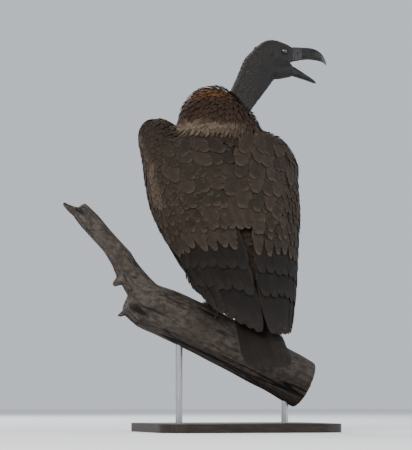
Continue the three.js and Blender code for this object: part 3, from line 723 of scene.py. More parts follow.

# %% [markdown]
# The skin's finish is dry grey leather on the head and takes the plumage colour below it. The throat is a
# dark, wet red between the halves of the bill, darkened by painted shade towards the upper bill, and the
# lids are nearly black at their rims, with a band of painted shade on their folds. All of that is
# stored as colours at the points; the finish itself adds only pores and a little wear.

# %% Skin piece
THROAT_RED, THROAT_PAINTED_SHADE, LID_BLACK = (0.10, 0.042, 0.038), (0.030, 0.014, 0.013), (0.010, 0.009, 0.009)
skin_colour = plumage(skin)
side, up, ahead = to_head(skin).T
mouth = ease(ahead, 31.5, 34) * (1 - ease(np.abs(side), 8.5, 12)) * ease(-up, 9, 12) * (1 - ease(-up, 34, 38))
# painted shade: the throat's red turns darker towards the upper bill
skin_colour = mixed(skin_colour, mixed(THROAT_RED, THROAT_PAINTED_SHADE, ease(up, -30, -14)), mouth)
for sign in (1, -1):
    look, fore, rise = eye_frame(sign)
    from_eye = to_head(skin) - eye_middle(sign)
    ring = np.hypot(from_eye @ fore / (LID_LONG + 1), from_eye @ rise / (LID_TALL + 1))
    near = (from_eye @ look > 0) * (np.linalg.norm(from_eye, axis=1) < 20)
    skin_colour = mixed(skin_colour, LID_BLACK, near * (1 - ease(ring, 0.95, 1.15)))
    # painted shade: a band on the folds of each lid, a little outside its rim, is made darker
    skin_colour = skin_colour * (1 - 0.3 * near * bump(ring - 1.4, 0.3))[:, None]

leather = Finish("skin", roughness=0.66, Specular_IOR_Level=0.25)
pores = leather.reckon("ADD", leather.cells(2.2), leather.cloud(1.1))
patchy = leather.ramp(leather.cloud(6), 0.35, 0.7, 0, 0.35)
worn = leather.blend(patchy, leather.mark("colour"), (1.5, 1.45, 1.4), "MULTIPLY")
leather.finish(worn, pores, depth=0.35, strength=0.7)
make("skin", skin, skin_faces, "skin", leather, replaces=FLESH, colour=skin_colour)

# %% [markdown]
# Feathers take their place in a colour map from an unwrap of the skin under them. Blender's smart
# projection cuts the skin where it turns sharply and lays the pieces side by side. A hand-made unwrap
# would have fewer pieces, but nobody sees this one: it only has to give each root its own place.

# %% Unwrapping the skin
sheet = scratch(skin, skin_faces)
bpy.context.view_layer.objects.active = sheet
sheet.select_set(True)
bpy.ops.object.mode_set(mode="EDIT")
bpy.ops.mesh.select_all(action="SELECT")
bpy.ops.uv.smart_project(angle_limit=math.radians(66), island_margin=0.002)
bpy.ops.object.mode_set(mode="OBJECT")
unwrapped = np.empty(len(skin_faces) * 6)
sheet.data.uv_layers.active.uv.foreach_get("vector", unwrapped)
face_place = unwrapped.reshape(-1, 3, 2).mean(axis=1)
bpy.data.meshes.remove(sheet.data)
skin_tree = surface_tree(skin, skin_faces)


def skin_place(roots):
    """Where places on the bird lie on the unwrapped skin."""
    return np.array([face_place[skin_tree.find_nearest(Vector(p))[2]] for p in roots])


print("unwrap covers", unwrapped.min().round(3), "to", unwrapped.max().round(3))

# %% [markdown]
# ## How a feather is made
#
# A feather is a shaft with two vanes, and each vane is a row of barbs that point forwards and outwards.
# Modelling every barb would need millions of faces, and one flat leaf would look like paper. So each vane
# is cut into locks of barbs: thin, closed strips with a low ridge, slanted as real barbs are. Where two
# neighbours part, the vane shows the small splits that give a feather away.
#
# `pattern` makes one such feather laid out flat, and `grow` bends copies of a few patterns over the body.

# %% One feather, laid flat
# Triangles of a strip between two rings of three points.
STRIP = np.array([[0, 1, 4], [0, 4, 3], [1, 2, 5], [1, 5, 4], [2, 0, 3], [2, 3, 5]])
FIRST_LOCK, LAST_LOCK = 0.03, 0.995  # where the locks' roots start and end along the shaft


def pattern(width, locks, seed, slant=0.3, ragged=0.06, splits=0.12,
            open_up=0.0, shaft=0.03, lean=0.0, crowd=1.25):
    """A flat feather: (along, across, height) of its points, triangles, and a mark for the shaft.

    width gives the half-width at places along it; slant says how far a lock reaches towards the tip; lean
    makes one vane narrower than the other; ragged shortens locks at random; splits is the share of locks
    that part from their neighbour, open_up the share of each lock that is air, and crowd packs the locks
    closer towards the tip.
    """
    dice = np.random.default_rng(seed)
    points, faces, is_shaft = [], [], []
    lock = np.concatenate([STRIP, STRIP + 3, [[0, 2, 1], [6, 7, 8]]])
    for side in (-1, 1):
        roots = FIRST_LOCK + (LAST_LOCK - FIRST_LOCK) * (1 - (1 - np.linspace(0, 1, locks + 1)) ** crowd)
        roots[1:-1] += dice.uniform(-0.2, 0.2, locks - 1) * np.diff(roots)[1:]
        uneven = np.convolve(dice.random(locks + 2), [0.3, 0.4, 0.3], "valid")
        shorter = 1 - ragged * uneven - ragged * dice.random(locks) ** 4
        parted = dice.random(locks) < splits
        lift = dice.normal(0, 0.3, locks)
        for i in range(locks):
            edges = roots[i:i + 2]
            tips = edges + slant * (1 - edges)
            half = width(tips) * shorter[i] * (1 + side * lean)
            tips[1] -= (open_up + 0.75 * parted[i] * (1 - open_up)) * (tips[1] - tips[0])
            faces.append((lock if side > 0 else lock[:, ::-1]) + len(points))
            for q in (0.0, 0.5, 1.0):
                along, across, height = edges + (tips - edges) * q**1.2, side * half * q, lift[i] * q
                ridge = (along.mean(), across.mean(), height + 1)
                points += [(along[0], across[0], height), ridge, (along[1], across[1], height)]
            is_shaft += [0] * 9
    if shaft:
        first, rings = len(points), 6
        for along in np.linspace(0, 0.95, rings):
            r = shaft * (1.05 - along)
            points += [(along, -r, 0.3), (along, 0, 0.9 + 22 * r), (along, r, 0.3)]
        last = 3 * (rings - 1)
        quill = [STRIP + 3 * i for i in range(rings - 1)] + [[[0, 2, 1], [last, last + 1, last + 2]]]
        faces.append(np.concatenate(quill)[:, ::-1] + first)
        is_shaft += [1] * (3 * rings)
    return np.array(points), np.concatenate(faces), np.array(is_shaft, float)


def leaf(widest, tip, root=0.25):
    """The half-width of a feather along it: where it is widest, and how blunt its tip is."""
    def width(along):
        rise = root + (1 - root) * np.sin(np.clip(along / widest, 0, 1) * np.pi / 2)
        fall = np.clip((1 - along) / (1 - widest), 0, 1) ** tip
        return np.where(along < widest, rise, fall)
    return width


print("strip:", len(STRIP), "triangles, lock:", 2 * len(STRIP) + 2)

# %% [markdown]
# Five kinds of feather serve the whole bird. Small body feathers, contour feathers and coverts are round,
# with more locks the larger they are. A fluffy one is a lance with air between its locks, as in a ruff. A
# quill is long and almost parallel, with a strong shaft and a narrower front vane. Each kind has a few
# versions from different seeds, so that no two neighbours are alike.

# %% Kinds of feather
ROUND, LANCE, QUILL = leaf(0.62, 0.45), leaf(0.42, 0.85), leaf(0.84, 0.42, 0.55)
KINDS = {  # shape, locks on each side, versions, and what differs from the usual
    "small": (ROUND, 8, 8, dict(ragged=0.25, splits=0.14, shaft=0.0)),
    "contour": (ROUND, 11, 5, dict(ragged=0.2, splits=0.2)),
    "covert": (ROUND, 22, 6, dict(ragged=0.12)),
    "fluffy": (LANCE, 9, 6, dict(slant=0.4, ragged=0.7, open_up=0.55)),
    "quill": (QUILL, 60, 6, dict(slant=0.12, ragged=0.05, splits=0.02, shaft=0.045, lean=0.12, crowd=1.7)),
}
PATTERNS = {}
for kind, (width, locks, versions, habits) in KINDS.items():
    PATTERNS[kind] = [pattern(width, locks, seed, **habits) for seed in range(versions)]
    print(kind, "feather:", len(PATTERNS[kind][0][1]), "triangles")

# %% [markdown]
# A feather's shaft follows the body. It is given as a row of places with the surface's normal at each, so
# the same code serves a quill half a metre long and the down on the neck. The root starts deep in the coat
# and the tip reaches its outside. Feathers nearer the head therefore lie over those behind them, like
# tiles, and nothing has to be sorted. Blender's hair system would be quicker, but here the coat's depth has
# to be held closely.
#
# Each feather keeps four numbers at its points (how far along, how far across, shaft or not, a random
# tone) and its plumage colour. Its patch in the OFBake map sits where its root is on the unwrapped skin.

# %% Bending feathers over the body
PATCH = 0.003  # how much of the colour map a feather takes
covered = []  # the outer two thirds of all shafts, to find bare places later


def grow(name, slot, finish, kind, spine, out, half_width, thick, colour, tone, round_off=90.0, **options):
    """Feathers along spine, an array of feathers by stations by 3, with the normals out at each station.

    half_width, thick (of a lock) and round_off (how tightly the vanes bend down) are in millimetres.
    """
    covered.append(spine[:, spine.shape[1] // 3:].reshape(-1, 3))
    forward = unit(np.gradient(spine, axis=1))
    across = unit(np.cross(out, forward))
    up = np.cross(forward, across)
    root_place = skin_place(spine[:, 0])
    half_width = np.broadcast_to(half_width, len(spine))
    points, faces, marks, colours, spots, count = [], [], [], [], [], 0
    shapes = PATTERNS[kind]
    pick = np.arange(len(spine)) % len(shapes)
    stations = spine.shape[1] - 1
    for number, (flat, triangles, is_shaft) in enumerate(shapes):
        chosen = np.flatnonzero(pick == number)
        if not len(chosen):
            continue
        at = np.clip(flat[:, 0], 0, 1) * stations
        i = np.minimum(at.astype(int), stations - 1)
        part = (at - i)[None, :, None]

        def between(rows):
            """The values of rows at the pattern's places along the shaft."""
            return rows[chosen][:, i] * (1 - part) + rows[chosen][:, i + 1] * part

        wide = half_width[chosen][:, None] * flat[None, :, 1]
        height = thick * flat[None, :, 2] - wide**2 / (2 * round_off)
        placed = between(spine) + between(across) * wide[..., None] + between(up) * height[..., None]
        n, v = len(chosen), len(flat)
        points.append(placed.reshape(-1, 3))
        faces.append((triangles[None] + (np.arange(n) * v)[:, None, None]).reshape(-1, 3) + count)
        row = np.stack([flat[:, 0], np.abs(flat[:, 1]), is_shaft], 1)
        marks.append(np.concatenate([np.tile(row, (n, 1)), np.repeat(tone[chosen], v)[:, None]], 1))
        colours.append(np.repeat(colour[chosen], v, axis=0))
        patch = np.stack([flat[:, 1] * 0.5, flat[:, 0] - 0.5], 1) * PATCH
        spots.append((root_place[chosen][:, None] + patch[None]).reshape(-1, 2).clip(0.0005, 0.9995))
        count += n * v
    make(
        name, np.concatenate(points), np.concatenate(faces), slot, finish, smooth=False,
        vane=np.concatenate(marks), colour=np.concatenate(colours), OFBake=np.concatenate(spots), **options
    )

# %% [markdown]
# ## Wings
#
# A folded wing is a stack of feather rows: small coverts over the wrist, then four rows of great coverts,
# the secondaries, and under them all the long primaries that reach the tail. The rows are laid on the same
# curved surface as the solids, written here as a function of two numbers: u runs from the shoulder to the
# wing tip and v from the middle of the back round to the flank. Scattering feathers at random would be
# less work, but only rows give the even scallops of a real wing.
# The keys below run from 0 at the front to 1 at the back.

# %% Keys of the body and the closed wing
BODY = track([
    # place, y, z, half-width, back, belly
    (0.0, -94, 462, 146, 52, 44),
    (0.1, -96, 420, 181, 86, 74),
    (0.26, -80, 338, 189, 108, 90),
    (0.44, -38, 246, 182, 110, 94),
    (0.62, 33, 152, 152, 88, 80),
    (0.78, 112, 71, 119, 58, 50),
    (0.92, 194, -2, 82, 32, 30),
    (1.0, 250, -54, 54, 17, 20),
])
WING_THICKNESS = track([(0, 42), (0.2, 56), (0.42, 54), (0.62, 34), (0.8, 16), (1, 7)])
INNER_EDGE = track([(0, 46), (0.15, 36), (0.4, 18), (0.6, 8), (0.8, 3), (1, 2)])  # degrees round the back
OUTER_EDGE = track([(0, 122), (0.2, 124), (0.45, 116), (0.65, 108), (0.85, 103), (1, 96)])
TIP_FEATHERS = 6  # primaries that make the outline of a wing tip
WING_END = 0.982  # where the inner primaries end along the body
TIP_NOTCH = 0.022  # how far each primary stands out past the notches beside it
WRIST_BULGE, WRIST_U, WRIST_V = 9, 0.16, 0.62
WINGS = {  # raised is how far the inner and outer parts of the shoulder are lifted, in millimetres
    "left": dict(side=1, start=0.03, raised=(0, 70), outset=10, spread=0, taper=0.13),
    "right": dict(side=-1, start=0.065, raised=(20, -2), outset=-10, spread=9, taper=0.02),
}
print("body from", BODY(0)[:2].round(), "to", BODY(1)[:2].round())

# %% [markdown]
# `cloak` gives a place on the closed back, from how far along it is and its angle round the body, and
# `wing` moves that place as a lifted shoulder or a spread tip does.

# %% The closed wing as a surface
def body_along(at):
    """The direction of the body's line towards the tail."""
    step = BODY(np.minimum(at + 0.01, 1)) - BODY(np.maximum(at - 0.01, 0))
    return unit(np.stack([0 * step[..., 0], step[..., 0], step[..., 1]], -1))


def cloak(at, angle, side, depth):
    """A place on the closed back and wings; angle is 0 on the spine and 90 on the flank."""
    y, z, wide, back, _ = np.moveaxis(BODY(at), -1, 0)
    along = body_along(at)
    up = np.stack([0 * y, -along[..., 2], along[..., 1]], -1)
    turn = np.radians(angle)
    height = np.maximum(back - depth, 0.5) * np.where(angle > 90, 0.55, 1)
    across = side * np.maximum(wide - depth, 0.5) * np.sin(turn)
    return np.stack([across, y, z], -1) + up * (height * np.cos(turn))[..., None]


def wing(u, v, side, start, raised, outset, spread, taper):
    """A place on the outside of a closed wing."""
    inside = np.clip(v, 0, 0.999)
    end = WING_END - taper * inside**1.4
    tip = TIP_NOTCH * (1 - (2 * ((inside * TIP_FEATHERS) % 1) - 1) ** 2)
    at = start + (end - start) * u + tip * np.clip(u, 0, 1) ** 12
    place = (at - start) / (1 - start)
    inner, outer = INNER_EDGE(place)[..., 0], OUTER_EDGE(place)[..., 0]
    rounding = np.sqrt(1 - (1 - np.clip(u / 0.2, 0, 1)) ** 2)
    wrist = WRIST_BULGE * np.exp(-(((u - WRIST_U) / 0.08) ** 2) - ((v - WRIST_V) / 0.25) ** 2)
    inward = WING_THICKNESS(at)[..., 0] * (1 - rounding) - wrist
    out = outset * np.sin(np.radians(90 * inside)) * bump(u, 0.5) + spread * np.clip(u, 0, 1) ** 3
    lift = raised[0] + (raised[1] * rounding - raised[0]) * ease(inside, 0.1, 0.75)
    lift = lift * bump(np.clip(u, 0, 1), 0.3)
    shift = np.stack([side * out, 0 * out, lift], -1)
    return cloak(at, inner + (outer - inner) * v, side, inward) + shift


def surface_normal(surface, u, v):
    """The direction at right angles to a surface that is given as a function of u and v."""
    du = surface(np.minimum(u + 0.01, 1.0), v) - surface(np.maximum(u - 0.01, 0.0), v)
    dv = surface(u, v + 0.01) - surface(u, v - 0.01)
    return unit(np.cross(du, dv))


for word, shape in WINGS.items():
    print(word, "wing tip at", wing(np.array(1.0), np.array(0.5), **shape).round(1))

# %% [markdown]
# Each row is told where its tips end, how long its feathers are and how many stand side by side. The
# feathers of every second row are set half a step over, as tiles are. Small random changes of length,
# direction and tilt keep the rows from looking stamped.

# %% Rows of wing feathers
STATIONS = 9  # places along each shaft
COLOUR_STATION = 6  # the one, in the part that shows, where a feather takes its colour
WING_FRONT = 0.035  # no root lies nearer than this to the shoulder's front edge


def row(shape, tip, length, count, low, high, share, spread=(0.0, 1.0), offset=0.0, wobble=1.0):
    """Spines, normals and half-widths of one row across a wing; share is of the gap between feathers."""
    def surface(u, v):
        return wing(u, v, **shape)

    step = (spread[1] - spread[0]) / count
    v = spread[0] + step * (np.arange(count) + 0.5 + offset)
    v = v + wobble * step * rng.uniform(-0.12, 0.12, count)
    reach = tip + wobble * rng.uniform(-0.012, 0.012, count)
    along = np.linspace(0, 1, STATIONS)
    root = np.maximum(reach - length * (1 + wobble * rng.uniform(-0.08, 0.08, count)), WING_FRONT)
    u = root[:, None] + (reach - root)[:, None] * along
    drift = wobble * step * rng.uniform(-0.25, 0.25, count)
    v = v[:, None] + drift[:, None] * along
    out = surface_normal(surface, np.clip(u, 0.012, 1), v) * -shape["side"]
    heights = low + (high - low) * along + wobble * rng.uniform(-0.6, 0.6, count)[:, None] * along
    spine = surface(u, v) + out * heights[..., None]
    at_u, at_v = u[:, -3], v[:, -3]
    gap = np.linalg.norm(surface(at_u, at_v + step / 2) - surface(at_u, at_v - step / 2), axis=1)
    return spine, out, gap * share


def gathered(rows):
    """Several rows as one: spines, normals and half-widths."""
    return [np.concatenate(part) for part in zip(*rows)]


print("each shaft has", STATIONS, "places and takes its colour at number", COLOUR_STATION)

# %% [markdown]
# The vane takes the bird's colour, lighter or darker by the feather's own tone; its worn edge is paler, its
# middle darker, and the shaft has a colour of its own. Barbs too fine to model are a slanted wave in the
# relief.

# %% Feather finishes
DARK_MIDDLE = (0.01, 0.008, 0.007)


def feather_finish(name, fringe, fringe_share, roughness, shaft_colour, barbs=260):
    """Vane, paler worn fringe, shaft and barbs; barbs is how close they are."""
    f = Finish(name, roughness=roughness, Specular_IOR_Level=0.14)
    vane = f.add("SeparateColor", [("Color", f.mark("vane"))])
    along, across, is_shaft = vane.outputs["Red"], vane.outputs["Green"], vane.outputs["Blue"]
    tone = f.mark("vane", "Alpha")
    grey = f.add("CombineColor", [(0, tone), (1, tone), (2, tone)]).outputs["Color"]
    toned = f.blend(1.0, f.mark("colour"), grey, "MULTIPLY")
    rim = f.reckon("MAXIMUM", f.ramp(across, 0.55, 1.0), f.ramp(along, 0.86, 1.0))
    rim = f.reckon("MULTIPLY", rim, f.ramp(f.cloud(14), 0.3, 0.6, 0.35, 1))
    worn = f.blend(f.reckon("MULTIPLY", rim, fringe_share), toned, fringe)
    shaded = f.blend(f.ramp(across, 0.0, 0.5, 0.3, 0), worn, DARK_MIDDLE)
    colour = f.blend(f.reckon("MULTIPLY", is_shaft, 0.75), shaded, shaft_colour)
    slant = f.reckon("ADD", f.reckon("MULTIPLY", along, barbs), f.reckon("MULTIPLY", across, -barbs / 5))
    f.finish(colour, f.reckon("SINE", slant), depth=0.1, strength=0.85)
    return f


COVERTS = feather_finish("covert_feathers", (0.10, 0.070, 0.047), 0.6, 0.68, (0.02, 0.014, 0.010))
FLIGHTS = feather_finish("flight_feathers", (0.034, 0.026, 0.020), 0.55, 0.62, (0.026, 0.020, 0.016), 1300)
print("nodes in a feather finish:", len(COVERTS.nodes))

# %% [markdown]
# Long quills come first: the primaries show beyond the secondaries, and both lie under the coverts. They
# replace the solid wing tips. Then come four rows of great coverts, and the small coverts up to the wrist,
# whose rows get shorter and closer. Where the small ones face straight out to the side, high on the wing,
# they are painted paler: painted rim light along the wing's edge.

# %% Dressing both wings
QUILL_ROWS = [  # tip, length, count, root and tip heights, share of the gap, and what differs
    (0.96, 0.4, TIP_FEATHERS + 1, -12, -4.2, 0.95, dict(spread=(0.03, 0.92), wobble=0.15)),
    (1.0, 0.56, TIP_FEATHERS, -10, -2.2, 0.88, dict(spread=(0.03, 0.93), wobble=0.15)),
    (0.89, 0.44, 8, -9, -1, 0.74, dict(offset=0.1, wobble=0.5)),
    (0.80, 0.36, 9, -8, -0.5, 0.72, dict(wobble=0.5)),
]
GREAT_ROWS = [(0.72, 0.26, 10), (0.645, 0.22, 11), (0.585, 0.17, 12), (0.535, 0.15, 13)]  # tip, length, count
FIRST_SMALL, LAST_SMALL, SMALL_STEP = 0.495, 0.10, -0.032
QUILL_THICK, COVERT_THICK, SMALL_THICK = 0.16, 0.14, 0.12  # of one lock, in millimetres

for word, shape in WINGS.items():
    spine, out, wide = gathered([row(shape, *numbers, **habits) for *numbers, habits in QUILL_ROWS])
    tone = rng.uniform(0.75, 1.2, len(spine))
    grow(f"wing_quills_{word}", "flight", FLIGHTS, "quill", spine, out, wide, QUILL_THICK,
         np.tile(FLIGHT_BLACK, (len(spine), 1)), tone, round_off=50.0, replaces=[f"primaries_{word}"])

    rows = []
    for number, (tip, length, count) in enumerate(GREAT_ROWS):
        rows.append(row(shape, tip, length, count, -8, 0, 0.72, offset=0.5 * (number % 2)))
    spine, out, wide = gathered(rows)
    grow(f"great_coverts_{word}", "mantle", COVERTS, "covert", spine, out, wide, COVERT_THICK,
         plumage(spine[:, COLOUR_STATION]), rng.uniform(0.8, 1.2, len(spine)))

    rows = []
    for number, tip in enumerate(np.arange(FIRST_SMALL, LAST_SMALL, SMALL_STEP)):
        back = tip / 0.5
        length, count = 0.065 + 0.055 * back, int(15 + 4 * (1 - back))
        rows.append(row(shape, tip, length, count, -6.5, 0, 0.78, offset=0.5 * (number % 2)))
    spine, out, wide = gathered(rows)
    place, facing = spine[:, COLOUR_STATION], shape["side"] * out[:, COLOUR_STATION, 0]
    # painted rim light: coverts that face straight out to the side, high up, are painted paler
    pale = 0.4 * bump(facing - 0.86, 0.08) * ease(place[:, 2], 180, 280)
    grow(f"small_coverts_{word}", "mantle", COVERTS, "contour", spine, out, wide, SMALL_THICK,
         mixed(plumage(place), PAINTED_RIM_LIGHT, pale), rng.uniform(0.75, 1.25, len(spine)))


# %% [markdown]
# ## Body feathers
#
# Breast, belly, thighs, back and crop have no rows to follow, so their feathers are spread evenly over the
# surface. First each point of the outline is given to the solid it lies on, so that every part of the body
# can have its own kind of feather.

# %% Whose skin is where
owner_tree = surface_tree(*joined([local(name) for name in FLESH]))
owner_of_face = np.repeat(np.arange(len(FLESH)), [len(local(name)[1]) for name in FLESH])
owner = owner_of_face[[owner_tree.find_nearest(Vector(p))[2] for p in outline]]
owned = {name: owner == number for number, name in enumerate(FLESH)}  # which points are each solid's
print("points of the outline:", {name: np.count_nonzero(mine) for name, mine in owned.items()})

# %% [markdown]
# Roots are picked one after another at random, and one that falls too near to another is dropped. Plain
# random places would leave clumps and bald spots. To find near ones quickly, the places are sorted into
# boxes as wide as the gap.

# %% Scattering roots
def scattered(points, gap, seed):
    """Picks places at random that are no closer to each other than gap."""
    order = np.random.default_rng(seed).permutation(len(points))
    boxes, kept = {}, []
    cells = np.floor(points / gap).astype(int)
    steps = np.array(list(np.ndindex(3, 3, 3))) - 1
    for i in order:
        near = [j for box in (cells[i] + steps).tolist() for j in boxes.get(tuple(box), ())]
        if not near or np.min(np.sum((points[near] - points[i]) ** 2, axis=1)) >= gap**2:
            boxes.setdefault(tuple(cells[i].tolist()), []).append(i)
            kept.append(i)
    return np.array(kept)


print("roots 40 mm apart on the whole outline:", len(scattered(outline, 40.0, 0)))

# %% [markdown]
# The lie of the coat is one function of place. On the trunk it follows the body's line, on the thighs it
# hangs, and on the ruff it points away from a place inside the neck, so feathers stand round it like
# petals. Where two parts meet, the directions are mixed, and no parting shows.

# %% The lie of the coat
HANGING = unit(np.array([0.0, 0.18, -1.0]))
RUFF_CORE = np.array([-42.0, -112.0, 560.0])  # inside the neck, above the ruff


def lie(p):
    """The direction in which the coat lies at places on the bird."""
    x, y, z = p.T
    trunk = body_along(np.clip(0.1 + (420 - z) / 520, 0, 1))
    trunk = unit(trunk + np.stack([-0.0012 * x, 0 * x, 0 * x], 1))
    leg = ease(-z, -215, -170) * (1 - ease(y, 25, 60)) * (1 - ease(-y, 95, 140)) * (1 - ease(z, 150, 190))
    shoulder = unit(np.stack([0.3 * np.sign(x), 0.85 + 0 * y, -0.45 + 0 * z], 1))
    way = mixed(mixed(trunk, HANGING + 0 * p, leg), shoulder, ease(z, 420, 450))
    on_ruff = ease(z, 400, 440) * (1 - ease(np.hypot(x - RUFF_X, y - RUFF_Y), 112, 128))
    return unit(mixed(way, unit(p - RUFF_CORE), on_ruff))


print("the coat between the shoulders lies along", lie(np.array([[0.0, 0, 380]])).round(2))

# %% [markdown]
# Each feather crawls along the surface: it takes a short step in the direction of the lie, drops back onto
# the surface, and turns to follow the lie there. A straight feather would stand off every curve.

# %% Crawling over a surface
class Coat:
    """A surface that feathers crawl over: its points, triangles, normals and nearest places."""

    def __init__(self, points, faces):
        self.points, self.faces = points, faces
        self.normals, self.tree = normals(points, faces), surface_tree(points, faces)

    def crawled(self, roots, lie, lengths, low, high, steps):
        """Spines that follow the surface from their roots; low and high are their heights over it."""
        here, direction, spines, outs = roots, None, [], []
        for k in range(steps + 1):
            found = [self.tree.find_nearest(Vector(p)) for p in here]
            on = np.array([f[0] for f in found])
            out = unit(self.normals[self.faces[[f[2] for f in found]]].mean(axis=1))
            wanted = lie(on)
            direction = wanted if direction is None else 0.5 * wanted + 0.5 * direction
            direction = unit(direction - out * np.sum(direction * out, axis=1, keepdims=True))
            height = low + (high - low) * (k / steps)
            spines.append(on + out * height[:, None])
            outs.append(out)
            here = on + direction * (lengths / steps)[:, None]
        return np.stack(spines, 1), np.stack(outs, 1)


body_coat = Coat(outline, outline_faces)
print("the body's coat has", len(body_coat.faces), "triangles")

# %% [markdown]
# A tract is one patch of the body with feathers of one kind, as real birds have them. Where the body is
# thin its roots lie less deep, as the skin does.

# %% Body feathers
BODY_STEPS = 5  # steps that a body feather crawls from its root to its tip
COLOUR_STEP = 3  # the one where it takes its colour
ROOT_BACK = 0.4  # share of its length that a feather starts before its place


def tract(name, slot, finish, kind, chosen, gap, length, wide, high=0.0, low=-7.5, seed=0, tint=None):
    """Feathers spread over chosen points of the outline; tint is a colour and its share at each point."""
    where = np.flatnonzero(chosen)
    kept = where[scattered(outline[where], gap, seed)]
    dice = np.random.default_rng(seed + 50)
    size = dice.uniform(0.82, 1.18, len(kept))
    roots = outline[kept] - lie(outline[kept]) * (length * size)[:, None] * ROOT_BACK
    share = coat_depth[kept] / COAT_DEPTH  # small where the body is thin
    tip = high + dice.uniform(-0.8, 0.8, len(kept)) + 2 * (1 - share)
    spine, out = body_coat.crawled(roots, lie, length * size, low * share, tip, BODY_STEPS)
    colour = plumage(spine[:, COLOUR_STEP])
    if tint is not None:
        colour = mixed(colour, tint[0], tint[1][kept])
    tone = dice.uniform(0.75, 1.25, len(kept))
    grow(name, slot, finish, kind, spine, out, wide * size, SMALL_THICK, colour, tone)


BREAST = feather_finish("body_feathers", (0.14, 0.105, 0.075), 0.5, 0.72, (0.03, 0.022, 0.016))
CROP = feather_finish("crop_feathers", (0.085, 0.045, 0.024), 0.4, 0.75, (0.03, 0.018, 0.011))
PALE = feather_finish("ruff_feathers", (0.22, 0.17, 0.125), 0.35, 0.8, (0.14, 0.105, 0.075))

height = outline[:, 2]
under = body_coat.normals[:, 1] - 0.4 * body_coat.normals[:, 2] < 0.25  # faces forwards or down
front, back = owned["trunk"] & under, owned["trunk"] & ~under
thighs = owned["thigh_left"] | owned["thigh_right"]
tract("breast_feathers", "mantle", BREAST, "small", front, 13, 40, 11, seed=1)
tract("thigh_feathers", "mantle", BREAST, "small", thighs, 11, 34, 8, seed=2)
tract("mantle_feathers", "mantle", COVERTS, "contour", back, 17, 58, 15, seed=3)
tract("crop_feathers", "ruff", CROP, "small", owned["ruff"] & (height > 458), 8, 24, 6.2, seed=4)
tract("ruff_feathers", "ruff", PALE, "fluffy", owned["ruff"] & (height < 470), 9, 46, 8, high=1.5, seed=5)

# %% [markdown]
# The rows of a wing stop at its rim. The rim itself, the top of the shoulder and the side that faces the
# breast carry small soft feathers without rows, and along the rim of the forearm these are painted pale:
# painted rim light. The same crawling feathers are used there, on the places that are far from the outside of
# the wing.

# %% Shoulders, rims and inner sides
NOT_OUTSIDE = 8  # millimetres from the outside of the wing, beyond which a place is on its inner side
u, v = (g.ravel() for g in np.meshgrid(np.linspace(0, 1, 90), np.linspace(0, 1, 40)))
bare, rim = np.zeros(len(outline), bool), np.zeros(len(outline))
for word, shape in WINGS.items():
    mine = np.flatnonzero(owned[f"wing_{word}"])
    at, away = nearest_points(outline[mine], wing(u, v, **shape))
    bare[mine] = (away > NOT_OUTSIDE) | (u[at] < 0.13) | (v[at] > 0.97)
    # painted rim light: the rim of the forearm is painted paler
    rim[mine] = ease(v[at], 0.8, 0.97) * ease(u[at], 0.03, 0.1) * (1 - ease(u[at], 0.4, 0.6))
tract("wing_lining", "mantle", BREAST, "small", bare, 11.5, 32, 8.5, seed=6, tint=(PAINTED_RIM_LIGHT, 0.85 * rim))

# %% [markdown]
# Hollows between the wings, the trunk and the ruff can still be bare, because no row reaches into them.
# They are found by measuring how far each place is from the nearest shaft, and small feathers fill them.

# %% Filling bare places
TOO_FAR = 10  # millimetres from the nearest shaft
_, from_shaft = nearest_points(outline, np.concatenate(covered))
bare = (from_shaft > TOO_FAR) & ~owned["neck"] & (height < 550) & (outline[:, 1] < 130)
print("bare places:", np.count_nonzero(bare), "of", len(outline))
tract("filling_feathers", "mantle", BREAST, "small", bare, 7, 26, 8, high=1.0, low=-5.0, seed=7)

# %% [markdown]
# ## Scapulars and tail
#
# Long scapulars hang from the mantle over the inner edge of each wing and hide where it meets the back.
# They are rows like those of the wing, but they start before its inner edge, where v is below 0.

# %% Scapulars
SCAPULAR_ROWS = [  # tip, length, count, and where the row starts and ends across the wing
    (0.63, 0.22, 3, -0.12, 0.2), (0.54, 0.22, 4, -0.2, 0.24), (0.45, 0.22, 4, -0.26, 0.26),
    (0.36, 0.22, 5, -0.3, 0.26), (0.27, 0.17, 5, -0.34, 0.24), (0.19, 0.17, 5, -0.36, 0.22),
]
for word, shape in WINGS.items():
    rows = []
    for number, (tip, length, count, *spread) in enumerate(SCAPULAR_ROWS):
        offset = 0.25 * (number % 2)
        rows.append(row(shape, tip, length, count, -4, 1.5, 0.72, spread=spread, offset=offset, wobble=1.3))
    spine, out, wide = gathered(rows)
    colour = mixed(plumage(spine[:, COLOUR_STATION]), BACK_BROWN, np.full(len(spine), 0.8))
    grow(f"scapulars_{word}", "mantle", COVERTS, "covert", spine, out, wide, COVERT_THICK, colour,
         rng.uniform(0.7, 1.25, len(spine)))

# %% [markdown]
# The tail is a flat, slightly arched board that gets thinner towards its end. It is written as a surface
# of u, from its base to its end, and v, from side to side, with a top and an underside.

# %% The tail as a surface
TAIL = track([  # place, y, z, half-width, thickness
    (0, 96, 80, 40, 20), (0.25, 148, 34, 47, 15), (0.6, 222, -37, 53, 8), (1, 308, -122, 62, 5),
])
TAIL_OUT = np.array([0, 0.71, 0.71])  # out of its upper side
TAIL_ARCH = 9  # how much its middle stands above its sides


def tail_surface(u, v, lift):
    """A place on the tail: v runs across it from 0 to 1, and lift is 1 on its top and -1 underneath."""
    y, z, wide, thick = np.moveaxis(TAIL(u), -1, 0)
    off_middle = np.abs(2 * v - 1)
    half_thick = np.maximum(thick / 2 * np.sqrt(np.maximum(1 - off_middle**6, 0)), 1)
    height = TAIL_ARCH * (1 - off_middle**2) + lift * half_thick - TAIL_ARCH
    return np.stack([wide * (2 * v - 1), y, z], -1) + TAIL_OUT * height[..., None]


